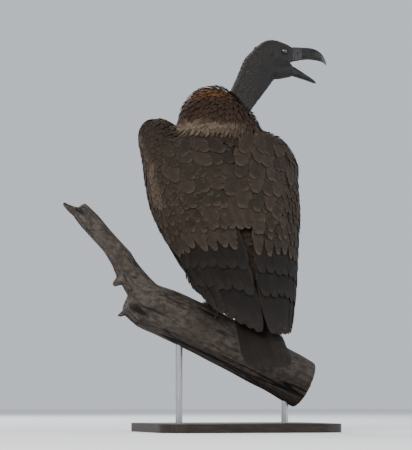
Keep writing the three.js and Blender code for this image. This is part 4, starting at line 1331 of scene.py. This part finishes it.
def tail_row(v, first, last, heights, lift=1.0):
    """Spines and normals of feathers side by side on the tail."""
    along = np.linspace(0, 1, STATIONS)
    u = first[:, None] + (last - first)[:, None] * along
    v = np.repeat(v[:, None], STATIONS, 1)
    across = tail_surface(u, v + 0.02, lift) - tail_surface(u, v - 0.02, lift)
    out = unit(np.cross(across, tail_surface(u + 0.02, v, lift) - tail_surface(u - 0.02, v, lift)))
    out = out * np.sign(np.sum(out * TAIL_OUT, axis=-1, keepdims=True)) * lift
    rise = heights[0] + (heights[1] - heights[0]) * along
    return tail_surface(u, v, lift) + out * rise[..., None], out


print("tail end at", tail_surface(np.array([1.0]), np.array([0.5]), 1)[0].round(1))

# %% [markdown]
# The tail is twelve stiff quills stacked like a closed fan: the middle pair lies on top. So the quills are
# sorted by their rank from the middle, and each lies a little lower than the one before it. Brown coverts
# hide their bases above and below.

# %% Tail
QUILLS, QUILL_HALF_WIDTH, QUILL_STEP = 12, 17.5, 0.6
rank = np.abs(np.arange(QUILLS) - (QUILLS - 1) / 2)
v = np.linspace(0.13, 0.87, QUILLS)
tips = 0.985 - 0.09 * np.abs(2 * v - 1) ** 3 - rng.uniform(0, 0.02, QUILLS)
spine, out = tail_row(v, np.full(QUILLS, 0.08), tips, (-1.2, -1.2))
spine = spine - out * (QUILL_STEP * rank)[:, None, None]
spine, out = spine[np.argsort(-rank)], out[np.argsort(-rank)]
grow("tail_quills", "flight", FLIGHTS, "quill", spine, out, QUILL_HALF_WIDTH, QUILL_THICK,
     np.tile(FLIGHT_BLACK, (QUILLS, 1)), rng.uniform(0.7, 1.35, QUILLS), replaces=["tail"])

# name, side of the tail, finish, and share of the breast's brown in the colour
TAIL_COVERTS = [("tail_coverts_above", 1.0, COVERTS, 0.0), ("tail_coverts_below", -1.0, BREAST, 0.5)]
for name, lift, finish, breast_share in TAIL_COVERTS:
    rows = []
    for last, count in ((0.40, 7), (0.29, 8), (0.18, 9)):
        v = 0.06 + 0.88 * (np.arange(count) + rng.uniform(0.35, 0.65, count)) / count
        ends = last + rng.uniform(-0.02, 0.02, count)
        rows.append(tail_row(v, np.full(count, max(last - 0.3, 0.0)), ends, (-3, 1.5), lift))
    spine, out = gathered(rows)
    colour = mixed(BACK_BROWN, BREAST_BROWN, np.full(len(spine), breast_share))
    tone = rng.uniform(0.6, 1.0, len(spine))
    grow(name, "mantle", finish, "contour", spine, out, 10.0, SMALL_THICK, colour, tone)

# %% [markdown]
# ## Bill, cere, tongue and eyes
#
# A vulture's bill is a deep, narrow hook. Its cutting edges stand proud of a hollow palate, and a soft
# cere with a slit nostril covers its base. Each part is a stack of rings whose width, top and underside
# come from the same keys as the solids, but with the hollow, the edge and the nostril added. Subdividing
# a coarse cage would give smooth forms too, but it rounds off the sharp edge that makes a bill look hard.

# %% Rings that make a bill
OUTSIDE_SHARE = 0.68  # how much of a ring is the bill's outside; the rest is the hollow between its edges
OUTSIDE_TURN = 0.62 * np.pi  # how far round the outside goes, from the top to the cutting edge
BILL_KEYS = [  # ahead of the head's middle, half-width, top, underside
    (45.35, 14.5, 21.5, -11), (64, 13, 22.5, -7), (86, 10.5, 23, -4), (104, 8.5, 19, -5),
    (118, 6, 9, -8), (126, 3.2, -4, -13.5), (129, 0.8, -13, -16.5),
]
JAW_KEYS = [(0, 13, 10, -11), (22, 12, 6, -9), (44, 9.5, 2, -7.5), (58, 6, -1, -7), (64, 1.2, -3.5, -5.5)]
TONGUE_KEYS = [
    (0, 5, 3, -3), (10, 6.5, 3, -3), (34, 6, 2.2, -2.6), (46, 4.4, 1.8, -1.8), (51, 1.5, 0.8, -0.8),
]
CERE_END = 64.0
JAW_HINGE, JAW_OPEN = (-37, 45.8), 18  # (up, ahead) and degrees
TONGUE_HINGE, TONGUE_RAISED = (-22, 29), 22


def rings_to_mesh(rings):
    """A closed surface through rings of points."""
    points = np.vstack([rings.reshape(-1, 3), rings[0].mean(0), rings[-1].mean(0)])
    return points, tube_faces(*rings.shape[:2])


def in_rings(side, up, ahead):
    """Rings across the head: one row per ring of side and up, and how far ahead each ring is."""
    return np.stack([side, up, np.repeat(ahead[:, None], side.shape[1], 1)], -1)


def bill_rings(keys, ahead, around, hollow, swell=0.0, under=False):
    """Rings across a bill: an arch with a sharp edge at each side and a hollow between them."""
    wide, top, bottom = np.moveaxis(track(keys)(ahead), -1, 0)
    wide, middle, tall = wide + swell, (top + bottom) / 2, (top - bottom) / 2 + swell
    p = np.linspace(-1, 1, around, endpoint=False)
    arch = np.clip(np.abs(p) / OUTSIDE_SHARE, 0, 1)
    inside = np.clip((np.abs(p) - OUTSIDE_SHARE) / (1 - OUTSIDE_SHARE), 0, 1)
    edge = 0.9 * np.sin(OUTSIDE_TURN) * np.cos(inside * np.pi / 2)
    across = np.sign(p) * np.where(inside > 0, edge, np.sin(arch * OUTSIDE_TURN) ** 0.85)
    rise = np.where(inside > 0, -1 + np.outer(hollow, np.sin(inside * np.pi / 2)), np.cos(np.pi * arch)[None])
    up = middle[:, None] + tall[:, None] * rise * (-1 if under else 1)
    return in_rings(wide[:, None] * across, up, ahead)


def worn_edge(around):
    """How worn a bill is round its ring: only along its two cutting edges."""
    return bump(np.abs(np.linspace(-1, 1, around, endpoint=False))[None] - OUTSIDE_SHARE, 0.045) * 0.7


def tipped(points, hinge, degrees):
    """Tips a part down round its hinge, as the jaw and tongue are."""
    c, s = math.cos(math.radians(degrees)), math.sin(math.radians(degrees))
    side, up, on = np.moveaxis(points, -1, 0)
    return np.stack([side, up * c - on * s + hinge[0], up * s + on * c + hinge[1]], -1)


print("bill:", BILL_KEYS[-1][0] - BILL_KEYS[0][0], "mm along the head")

# %% [markdown]
# Horn is dark, hard and polished by use, yet not clean: growth lines run along it, the tip and edges are
# a little paler, and dry matter dulls it in patches. The cere is waxy and finely pitted.

# %% Horn and cere finishes
horn = Finish("horn", roughness=0.5, Specular_IOR_Level=0.3, Coat_Weight=0.05, Coat_Roughness=0.3)
lines = horn.cloud(3.5, detail=5, stretch=(0.22, 1, 1))
dull = horn.cloud(11, detail=4)
shade = horn.blend(horn.ramp(lines, 0.35, 0.7), (0.007, 0.0065, 0.006), (0.020, 0.018, 0.016))
shade = horn.blend(horn.reckon("MULTIPLY", horn.mark("edge", "Fac"), 0.55), shade, (0.10, 0.085, 0.068))
shade = horn.blend(horn.ramp(dull, 0.55, 0.8, 0, 0.5), shade, (0.036, 0.032, 0.028))
horn.finish(shade, lines, depth=0.14, roughness=horn.ramp(dull, 0.3, 0.75, 0.24, 0.52))

wax = Finish("cere", roughness=0.5, Specular_IOR_Level=0.4, Coat_Weight=0.1)
pits = wax.cells(1.3)
wax_shade = wax.blend(wax.ramp(wax.cloud(5), 0.3, 0.7), (0.014, 0.0133, 0.013), (0.030, 0.028, 0.027))
# painted shade: the nostril slit, kept in the edge mark, is painted near-black for the depth of the opening
wax_shade = wax.blend(wax.mark("edge", "Fac"), wax_shade, (0.004, 0.003, 0.003))
wax.finish(wax_shade, pits, depth=0.2, strength=0.8)
print("nodes in the horn finish:", len(horn.nodes))

# %% [markdown]
# The upper half runs from under the cere to the hooked tip. It is pinched a little along each side, its
# palate is hollow as far as the hook, and its tip and edges are marked as worn for the finish.

# %% Upper bill
BILL_AROUND = 64
ahead = np.linspace(CERE_END - 1.5, 129, 64)
upper = bill_rings(BILL_KEYS, ahead, BILL_AROUND, 0.75 * (1 - ease(ahead, 100, 128)))
pinch = bump(upper[..., 2] - 82, 13) * bump(upper[..., 1] - 5, 6)  # the shallow groove along each side
upper[..., 0] *= 1 - 0.09 * pinch
wear = np.maximum(0.8 * ease(upper[..., 2], 112, 129), worn_edge(BILL_AROUND))
points, faces = rings_to_mesh(upper)
make("bill_top", from_head(points), faces, "horn", horn, replaces=["bill_upper"],
     edge=np.r_[wear.ravel(), 0, 1])

# %% [markdown]
# The cere is a soft sleeve round the base of the bill. It swells where it ends on the horn, and a slanting
# slit with a raised lip is the nostril on each side. The slit is pushed in rather than cut, so the sleeve
# stays closed, and the same measure paints it near-black: painted shade for the depth of the nostril.

# %% Cere and nostrils
CERE_AROUND, NOSTRIL_AHEAD, NOSTRIL_SLANT = 96, 55.5, 0.28
ahead = np.linspace(43.5, CERE_END + 1.0, 44)
rolled = np.sqrt(np.maximum(0, 1 - np.maximum(0, (ahead - 61.5) / 3.5) ** 2))  # its front edge rolls over
soft = bill_rings(BILL_KEYS, ahead, CERE_AROUND, np.full(44, 0.55), 0.55 * rolled + 0.3 * bump(ahead - 48, 4))
side, up, on = np.moveaxis(soft, -1, 0)
from_slit = (on - NOSTRIL_AHEAD) + NOSTRIL_SLANT * (up - 7)
at_side = ease(np.abs(side), 7, 10)
slit = bump(from_slit, 1.35) * bump(up - 7.5, 4.2) * at_side
lip = bump(np.hypot(from_slit, (up - 7.5) * 0.42) - 2.6, 1.0) * at_side
soft[..., 0] -= np.sign(side) * (3.4 * slit - 0.45 * lip)
soft[..., 1] += 0.08 * np.sin(on * 2.1 + 1.5 * np.sin(side * 0.5)) * ease(up, 12, 20)
points, faces = rings_to_mesh(soft)
make("cere_skin", from_head(points), faces, "cere", wax, replaces=["cere"],
     edge=np.r_[np.clip(slit * 1.6 - 0.25, 0, 1).ravel(), 0, 0])

# %% [markdown]
# The lower half is a trough: the same arch turned over, hinged behind the gape and tipped open.

# %% Lower bill
JAW_AROUND, JAW_RINGS = 56, 52
ahead = np.linspace(-9, 64, JAW_RINGS)
lower = bill_rings(JAW_KEYS, ahead, JAW_AROUND, 0.95 - 0.35 * ease(ahead, 30, 62), under=True)
points, faces = rings_to_mesh(tipped(lower, JAW_HINGE, JAW_OPEN))
make("bill_bottom", from_head(points), faces[:, ::-1], "horn", horn, replaces=["bill_lower"],
     edge=np.r_[np.repeat(worn_edge(JAW_AROUND), JAW_RINGS, 0).ravel(), 0, 0.6])

# %% [markdown]
# The tongue is a stiff, narrow trough with small backward spines along its rims, wet and dark pink. The
# spines are a saw-tooth added to its width, which is enough at this size.

# %% Tongue
wet = Finish("tongue", roughness=0.3, Subsurface_Weight=0.15, Subsurface_Scale=0.004, Coat_Weight=0.6,
             Coat_Roughness=0.12)
flush = wet.blend(wet.ramp(wet.cloud(4), 0.3, 0.7), (0.16, 0.065, 0.055), (0.27, 0.13, 0.11))
wet.finish(flush, wet.cells(0.9), depth=0.2)
on = np.linspace(-2, 51, 54)
wide, top, bottom = np.moveaxis(track(TONGUE_KEYS)(on), -1, 0)
turn = np.linspace(0, 2 * np.pi, 28, endpoint=False)
spines = 0.7 * (on * 0.45 % 1) * (on < 44) * (on > 4)  # a spine every 2.2 mm
side = (wide + spines)[:, None] * np.sin(turn)
up = ((top + bottom) / 2)[:, None] + ((top - bottom) / 2)[:, None] * np.cos(turn)
up = up - (1.6 * bump(side, 2.0) - 1.1 * ease(np.abs(side), 2.5, 6)) * (np.cos(turn) > 0)
points, faces = rings_to_mesh(tipped(in_rings(side, up, on), TONGUE_HINGE, TONGUE_RAISED))
make("tongue_trough", from_head(points), faces, "tongue", wet, replaces=["tongue"])

# %% [markdown]
# An eye is a ball with a clearer bulge in front. The ball is turned so that its pole looks out and a little
# forwards, and the distance from the pole draws a black pupil, a dark brown ring with fine spokes, and the
# dark rim that the lids leave free. A second glass shell would add real refraction, but a wet coat on
# one surface gives the same glint and stays whole in every viewer.

# %% Eye finish
PUPIL_EDGE, IRIS_EDGE = (11.5, 13.5), (26, 31)  # degrees from the pole
gleam = Finish("eye", roughness=0.08, Specular_IOR_Level=0.6, Coat_Weight=1.0, Coat_Roughness=0.02, IOR=1.38)
polar = gleam.mark("polar", "Fac")
spokes = gleam.ramp(gleam.mark("spoke", "Fac"), 0, 1)
iris = gleam.blend(spokes, (0.030, 0.012, 0.005), (0.085, 0.036, 0.013))
eyeball = gleam.blend(gleam.ramp(polar, *PUPIL_EDGE), (0.0015, 0.0012, 0.001), iris)
eyeball = gleam.blend(gleam.ramp(polar, *IRIS_EDGE), eyeball, (0.006, 0.005, 0.005))
gleam.finish(eyeball)
print("pupil:", round(2 * EYE_RADIUS * math.sin(math.radians(PUPIL_EDGE[0])), 1), "mm across")

# %% [markdown]
# The rings of the ball are circles round its pole, so each point can keep how far from the pole it is.

# %% Eyes
BULGE, BULGE_EDGE = 0.7, 33  # millimetres, and degrees from the pole
AROUND_EYE = 72
tilt, spin = np.linspace(0, 160, 49)[1:], np.linspace(0, 360, AROUND_EYE, endpoint=False)
a, b = np.radians(tilt)[:, None, None], np.radians(spin)[None, :, None]
radius = EYE_RADIUS + BULGE * np.maximum(0, 1 - (tilt / BULGE_EDGE) ** 2)
circle = np.c_[np.cos(np.radians(spin)) * 5, np.sin(np.radians(spin)) * 5, 0 * spin]
spoke = 0.5 + 0.5 * noise(circle, 0.55, 11)
for sign, word in SIDES:
    look = unit(np.array([sign, 0.04, 0.22]))
    over = unit(np.cross(look, np.array([0, 0, 1.0])))
    beside = np.cross(look, over)
    ring = np.cos(a) * look + np.sin(a) * (np.cos(b) * over + np.sin(b) * beside)
    points, faces = rings_to_mesh(ring * radius[:, None, None])
    points[-2] = look * (EYE_RADIUS + BULGE)
    points[-1] = -look * EYE_RADIUS * 0.94
    points = from_head(points + eye_middle(sign))
    make(f"eyeball_{word}", points, faces, "eye", gleam, replaces=[f"eye_{word}"],
         polar=np.r_[np.repeat(tilt, AROUND_EYE), 0, 180], spoke=np.r_[np.tile(spoke, len(tilt)), 0, 0])

# %% [markdown]
# ## Down on the head and neck
#
# The head and neck look bare, but they carry short, pale, hair-like down: thin on the face, thicker on the
# nape, and longest where the neck enters the ruff. Each tuft is a few thin closed spikes that spread a
# little, and it crawls over the skin as the feathers do. Hair curves would be lighter, but an exported
# model loses them.

# %% Tufts of down
def spikes(count, seed):
    """A tuft of thin spikes laid flat, in the same form as pattern gives."""
    dice = np.random.default_rng(seed)
    points, faces = [], []
    spike = np.concatenate([STRIP, [[3, 4, 6], [4, 5, 6], [5, 3, 6], [0, 2, 1]]])[:, ::-1]
    starts, spreads = dice.uniform(-0.3, 0.3, count), dice.uniform(-1, 1, count)
    for start, spread, end in zip(starts, spreads, dice.uniform(0.65, 1, count)):
        faces.append(spike + len(points))
        height = dice.uniform(-2, 2)
        for along, thin in ((0.0, 0.09), (0.55 * end, 0.06)):
            middle, low = start + (spread - start) * along, height * along
            points += [(along, middle - thin, low), (along, middle, low + 1), (along, middle + thin, low)]
        points.append((end, spread, height))
    return np.array(points), np.concatenate(faces), np.zeros(len(points))


PATTERNS["down"] = [spikes(5, s) for s in range(8)]
PATTERNS["bristle"] = [spikes(3, s + 20) for s in range(6)]
print("a tuft:", len(PATTERNS["down"][0][1]), "triangles")

# %% [markdown]
# The down lies backwards over the head and then down the neck. It leaves free what is bare on the bird:
# the lids, the ear, the inside of the mouth and the part under the cere.

# %% Down
DOWN_NECK = unit(np.array([109.0, 4.0, -148.0]))  # along the neck, from the head to the ruff
DOWN_STEPS = 3


def neck_lie(p):
    """Backwards over the head, then down the neck."""
    return unit(mixed(-AHEAD, DOWN_NECK, ease(-to_head(p)[:, 2], -5, 30)))


face_coat = Coat(face_shape, face_faces)
side, up, ahead = to_head(face_shape).T
to_eye = np.sqrt((np.abs(side) - EYE_OUT) ** 2 + (up - EYE_UP) ** 2 + (ahead - EYE_AHEAD) ** 2)
in_mouth = (ahead > 31) & (up < -8) & (up > -48)
in_ear = np.hypot(ahead - EAR_AHEAD, up - EAR_UP) < 6
bare = (to_eye < 13.5) | in_mouth | in_ear | (ahead > 41)
DOWN_FINISH = feather_finish("down", (0.20, 0.18, 0.155), 0.45, 0.85, (0.2, 0.18, 0.15), barbs=0)


def down(name, kind, chosen, gap, length, wide, thick, seed, pale):
    """Tufts over chosen points of the head and neck; length, wide and pale are given at each point."""
    where = np.flatnonzero(chosen & ~bare)
    kept = where[scattered(face_shape[where], gap, seed)]
    dice = np.random.default_rng(seed)
    lengths = length[kept] * dice.uniform(0.7, 1.25, len(kept))
    high = 0.9 + 0.05 * lengths
    spine, out = face_coat.crawled(face_shape[kept], neck_lie, lengths, -0.5, high, DOWN_STEPS)
    share = pale[kept] * dice.uniform(0.5, 1.2, len(kept))
    colour = mixed(GREY_SKIN, DOWN, np.clip(share, 0, 1))
    grow(name, "skin", DOWN_FINISH, kind, spine, out, wide[kept], thick, colour,
         dice.uniform(0.8, 1.2, len(kept)), round_off=40.0)


far = ease(-ahead, 0, 70)  # how far down the neck
even = np.ones(len(face_shape))
on_crown = ease(up, 10, 30)
down("neck_down", "down", ahead < -4, 3.6, 5 + 6 * far, 1.3 + 0.9 * far, 0.13, 31, 0.25 + 0.4 * far)
down("head_down", "bristle", ahead >= -8, 2.9, 3.2 * even, 0.7 * even, 0.1, 32, 0.18 + 0.22 * on_crown)

# %% [markdown]
# ## Legs, feet and claws
#
# The bare shank and toes are covered with horny scales: broad overlapping plates along the top of each
# toe and down the front of the shank, and small beads everywhere else. The plates are real relief, made by
# measuring how far along its toe each point lies. The beads are too small for that and are left to the
# finish. Claws are round horn hooks, blunt for a bird of prey, since vultures walk on them.
#
# Each toe is a line over the bark that starts at the middle of the foot and turns away by its splay.

# %% Branch and toe lines
SLOPE = math.radians(26)
BRANCH_RADIUS, FOOT_ALONG, TOE_CLEARANCE = 57.0, 57.0, 1.6
BRANCH_AXIS = np.array([math.cos(SLOPE), 0, math.sin(SLOPE)])
BRANCH_TOP = np.array([-math.sin(SLOPE), 0, math.cos(SLOPE)])
BRANCH_FRONT = np.array([0.0, -1, 0])
TOES = {  # splay in degrees, start, length, thickness, claw length
    "inner": (-27, 9, 62, 8.2, 27), "middle": (-2, 8, 92, 8.4, 25),
    "outer": (25, 9, 66, 7.6, 21), "hind": (186, 6, 36, 8, 26),
}


def round_branch(angle, radius):
    """Places round the branch's middle line, as seen from its top; angle is 0 there and grows forwards."""
    up, forward = radius * np.cos(angle) - BRANCH_RADIUS, radius * np.sin(angle)
    return np.multiply.outer(up, BRANCH_TOP) + np.multiply.outer(forward, BRANCH_FRONT)


def toe_point(side, splay, distance, height):
    """A place over the bark, distance from the foot's middle along a toe."""
    turn = math.radians(splay) * side
    reach = BRANCH_RADIUS + height
    place = round_branch(distance * math.cos(turn) / reach, reach)
    return place + (side * FOOT_ALONG + distance * math.sin(turn)) * BRANCH_AXIS


print("left foot's middle:", toe_point(1, 0, 0.0, 0.0).round(1), "mm")

# %% [markdown]
# The finish of the legs has grey-black beads, paler dust in patches and a paler tone on the plates.

# %% Scaly finish
scaly = Finish("leg", roughness=0.55, Specular_IOR_Level=0.35)
beads = scaly.cells(1.7)
grime = scaly.cloud(9, detail=4)
plate_share = scaly.reckon("MULTIPLY", scaly.mark("plate", "Fac"), 0.5)
hide = scaly.blend(scaly.ramp(beads, 0.25, 0.6), (0.048, 0.045, 0.043), (0.018, 0.016, 0.015))
hide = scaly.blend(scaly.ramp(grime, 0.45, 0.75, 0, 0.55), hide, (0.11, 0.10, 0.088))
hide = scaly.blend(plate_share, hide, (0.072, 0.068, 0.064))
scaly.finish(hide, scaly.reckon("MULTIPLY", beads, -1), depth=0.35, strength=0.8)
print("nodes in the scaly finish:", len(scaly.nodes))

# %% [markdown]
# A claw is a tube whose line leaves the end of the toe, arches up and comes down to the bark. It gets
# thinner towards a blunt point, where the horn is a little worn.

# %% Claws
CLAW_RINGS, CLAW_AROUND, CLAW_ARCH = 22, 18, 4.5


def claws(sign, word):
    """The four claws of one foot."""
    share = np.linspace(0, 1, CLAW_RINGS)
    for toe, (splay, start, length, girth, claw) in TOES.items():
        root = girth * 0.62
        radius = np.maximum(root * (1 - share) ** 0.8, 0.5)
        lift = root + 1.2 + (1 - root - 1.2) * share**1.6 + CLAW_ARCH * np.sin(share * np.pi)
        away = start + length - 3 + (claw * 0.82 + 3) * share
        path = np.array([toe_point(sign, splay, d, h + r * 0.4) for d, h, r in zip(away, lift, radius)])
        points, faces = tube(path, radius, CLAW_AROUND)
        make(f"claw_horn_{word}_{toe}", points, faces, "horn", horn, replaces=[f"claw_{word}_{toe}"],
             edge=np.r_[np.repeat(ease(share, 0.7, 1.0) * 0.7, CLAW_AROUND), 0, 0.7])


print("rings in a claw:", CLAW_RINGS)

# %% [markdown]
# Each foot and its shank are fused into one skin, as the head was. For every point the nearest toe line
# says how far along that toe it lies and whether it faces out of the bark. The first gives the row of
# plates, a saw-tooth with a groove before each step, and the second keeps them to the top of the toe.

# %% Feet
FOOT_VOXEL = 1.25
PLATE_LONG = 5.2
LINE_PLACES = 60  # places along a toe's line to measure from


def along_toes(points, out, side):
    """How far along its toe each point lies, and how much it faces out of the bark."""
    best, along, facing = np.full(len(points), 1e9), np.zeros(len(points)), np.zeros(len(points))
    for splay, start, length, girth, _ in TOES.values():
        steps = np.linspace(0, start + length, LINE_PLACES)
        line = np.array([toe_point(side, splay, d, girth + TOE_CLEARANCE) for d in steps])
        gap = np.linalg.norm(points[:, None] - line[None], axis=2)
        nearest, gap = gap.argmin(axis=1), gap.min(axis=1)
        closer = gap < best
        best, along = np.where(closer, gap, best), np.where(closer, steps[nearest], along)
        angle = steps[nearest] / BRANCH_RADIUS * math.cos(math.radians(splay))
        upward = np.cos(angle)[:, None] * BRANCH_TOP + np.sin(angle)[:, None] * BRANCH_FRONT
        facing = np.where(closer, np.sum(out * upward, axis=1), facing)
    return along, facing


for sign, word in SIDES:
    foot, foot_faces = fused([local(f"foot_{word}"), local(f"shank_{word}")], FOOT_VOXEL)
    foot = smoothed(foot, foot_faces, 6)
    out = normals(foot, foot_faces)
    along, facing = along_toes(foot, out, sign)
    up_shank = foot[:, 2] - toe_point(sign, 0, 0.0, 0.0)[2]
    on_shank = ease(up_shank, 15, 20)
    slope = np.where(on_shank > 0.5, up_shank, along) / PLATE_LONG % 1
    top = np.where(on_shank > 0.5, ease(-out[:, 1], 0.2, 0.6), ease(facing, 0.25, 0.6))
    plates = top * (0.75 * slope - 1.1 * bump(slope - 0.98, 0.09) - 0.2)
    pads = 0.6 * np.sin(along * 0.35) * (1 - ease(facing, -0.5, 0.1)) * (1 - on_shank)
    foot = foot + out * (plates + pads + 0.2 * noise(foot, 2.2, 21))[:, None]
    make(f"foot_skin_{word}", foot, foot_faces, "leg", scaly, replaces=[f"foot_{word}", f"shank_{word}"],
         plate=top * np.clip(slope * 1.2, 0, 1))
    claws(sign, word)

# %% [markdown]
# ## Dead branch and stand
#
# The branch has long lost its bark. Sun and rain have opened it along the grain, left ridges of grey wood
# and dark cracks between them, and stained it in long streaks. The cracks are carved into a fine skin of
# the solid by noise that is stretched along the grain, since relief in the finish alone would leave the
# outline smooth. The lower end is sawn across and shows its rings.
#
# The finish has fine fibres, long stains, black cracks, and paler wood with rings on the sawn end.

# %% Weathered wood finish
wood = Finish("bark", roughness=0.85, Specular_IOR_Level=0.15)
fibre = wood.cloud(5, detail=6, stretch=(0.3, 1, 0.45), rough=0.65)
streaks = wood.cloud(38, detail=4, stretch=(0.35, 1, 0.5))
grey = wood.blend(wood.ramp(fibre, 0.3, 0.7), (0.032, 0.025, 0.020), (0.092, 0.077, 0.065))
grey = wood.blend(wood.ramp(streaks, 0.42, 0.72, 0, 0.6), grey, (0.027, 0.021, 0.0175))
grey = wood.blend(wood.mark("crack", "Fac"), grey, (0.010, 0.008, 0.007))
rings = wood.reckon("SINE", wood.mark("ring", "Fac"))
sawn = wood.blend(wood.ramp(rings, -1, 1), (0.10, 0.070, 0.045), (0.18, 0.135, 0.09))
grey = wood.blend(wood.mark("sawn", "Fac"), grey, sawn)
wood.finish(grey, fibre, depth=0.5)
print("nodes in the wood finish:", len(wood.nodes))

# %% [markdown]
# The branch and its rising arm have grain in two directions, and the noise is blended where they part.

# %% Grain
BRANCH_VOXEL = 2.6
ARM_WAY = unit(np.array([0.62, 0.0, 0.78]))
branch, branch_faces = fused([local("perch")], BRANCH_VOXEL)
branch = smoothed(branch, branch_faces, 10)
out = normals(branch, branch_faces)
on_arm = ease(branch[:, 0], 215, 250) * ease(branch[:, 2], 40, 90)


def grain(size, long, seed):
    """Noise drawn out along the wood, on the branch and on its rising arm."""
    values = []
    for axis in (BRANCH_AXIS, ARM_WAY):
        run = branch @ axis
        values.append(noise(branch - run[:, None] * axis * (1 - 1 / long), size, seed))
    return values[0] * (1 - on_arm) + values[1] * on_arm


print("branch:", len(branch), "points, on its arm:", np.count_nonzero(on_arm > 0.5))

# %% [markdown]
# Ridges, cracks, fine splits and two knots are added up as one relief. Under the toes nothing may stand
# up, so there the relief is only let down. On the sawn end the rings and a few drying splits replace it.

# %% Weathered branch
SAWN_FROM, SAWN_FULL = 221.0, 224.0  # along the branch, towards its lower end
KNOTS = (((-70, -50, -60), 13), ((120, 52, 20), 11))  # place and reach
STANDS_UP = 0.2  # how far the relief may stand up under the toes
RING_PITCH = 1.9  # how fast the year rings follow each other, in radians a millimetre

along, front = branch @ BRANCH_AXIS, branch @ BRANCH_FRONT
over_core = (branch + BRANCH_RADIUS * BRANCH_TOP) @ BRANCH_TOP
turn, from_core = np.arctan2(front, over_core), np.hypot(front, over_core)
ridge = grain(6.5, 9, 41) + 0.6 * grain(3.4, 10, 42)
split = bump(grain(17, 12, 43), 0.10) * ease(grain(60, 2, 44), -0.15, 0.25)
fine_split = bump(grain(8, 14, 45), 0.12) * ease(grain(30, 3, 46), 0.0, 0.3)
knots = sum(bump(np.linalg.norm(branch - place, axis=1), reach) for place, reach in KNOTS)
at_end = ease(-along, SAWN_FROM, SAWN_FULL) * ease(-out @ BRANCH_AXIS, 0.7, 0.9)
ray = bump(np.sin(turn * 2.5 + 0.7), 0.05) * ease(from_core, 4, 16) * at_end
relief = 0.55 * ridge - 3.4 * split - 1.3 * fine_split + 2.6 * knots + 1.6 * noise(branch, 45, 47)
relief = relief * (1 - at_end) + at_end * 0.25 * np.sin(from_core * RING_PITCH) - 2.2 * ray
near_feet = bump(np.maximum(np.abs(along) - 100, 0), 25)
under_toes = near_feet * ease(out @ BRANCH_TOP + out @ BRANCH_FRONT, 0.3, 0.8)
clear = 1 - ease(-relief, -0.3, -0.9) * under_toes
relief = np.where(relief > STANDS_UP, STANDS_UP + (relief - STANDS_UP) * clear, relief)
branch = branch + out * relief[:, None]
crack = np.clip(split * 1.3 + 0.8 * fine_split + ray, 0, 1)
make("weathered_branch", branch, branch_faces, "bark", wood, replaces=["perch"],
     crack=crack, sawn=at_end, ring=from_core * RING_PITCH + 0.8 * noise(branch, 14, 48))

# %% [markdown]
# The stand's own solids have the right shape already: a flat dark wooden base and two steel rods. They stay
# and only get finishes: brushed steel, and stained wood with growth rings and open pores.

# %% Stand
steel = Finish("stand_steel", roughness=0.32, Metallic=1.0)
brushed = steel.cloud(0.8, detail=3, stretch=(1, 1, 0.02))
steel.finish(steel.blend(brushed, (0.36, 0.36, 0.37), (0.56, 0.56, 0.57)), brushed, depth=0.02,
             roughness=steel.ramp(brushed, 0.3, 0.7, 0.24, 0.42))
plinth = Finish("stand_wood", roughness=0.5, Specular_IOR_Level=0.3)
growth = plinth.cloud(9, detail=3, stretch=(0.12, 1, 1))
rings = plinth.reckon("SINE", plinth.reckon("MULTIPLY", growth, 34))
pore = plinth.cloud(1.3, detail=4, stretch=(0.06, 1, 1))
stained = plinth.blend(plinth.ramp(rings, -1, 1), (0.016, 0.011, 0.0085), (0.030, 0.020, 0.014))
stained = plinth.blend(plinth.ramp(pore, 0.5, 0.7, 0, 0.7), stained, (0.007, 0.005, 0.004))
plinth.finish(stained, pore, depth=0.06)
for node, finish in (("stand_base", plinth), ("stand_rod_left", steel), ("stand_rod_right", steel)):
    for place in NODES[node].material_slots:
        place.material = finish.material
    print("finished", node)
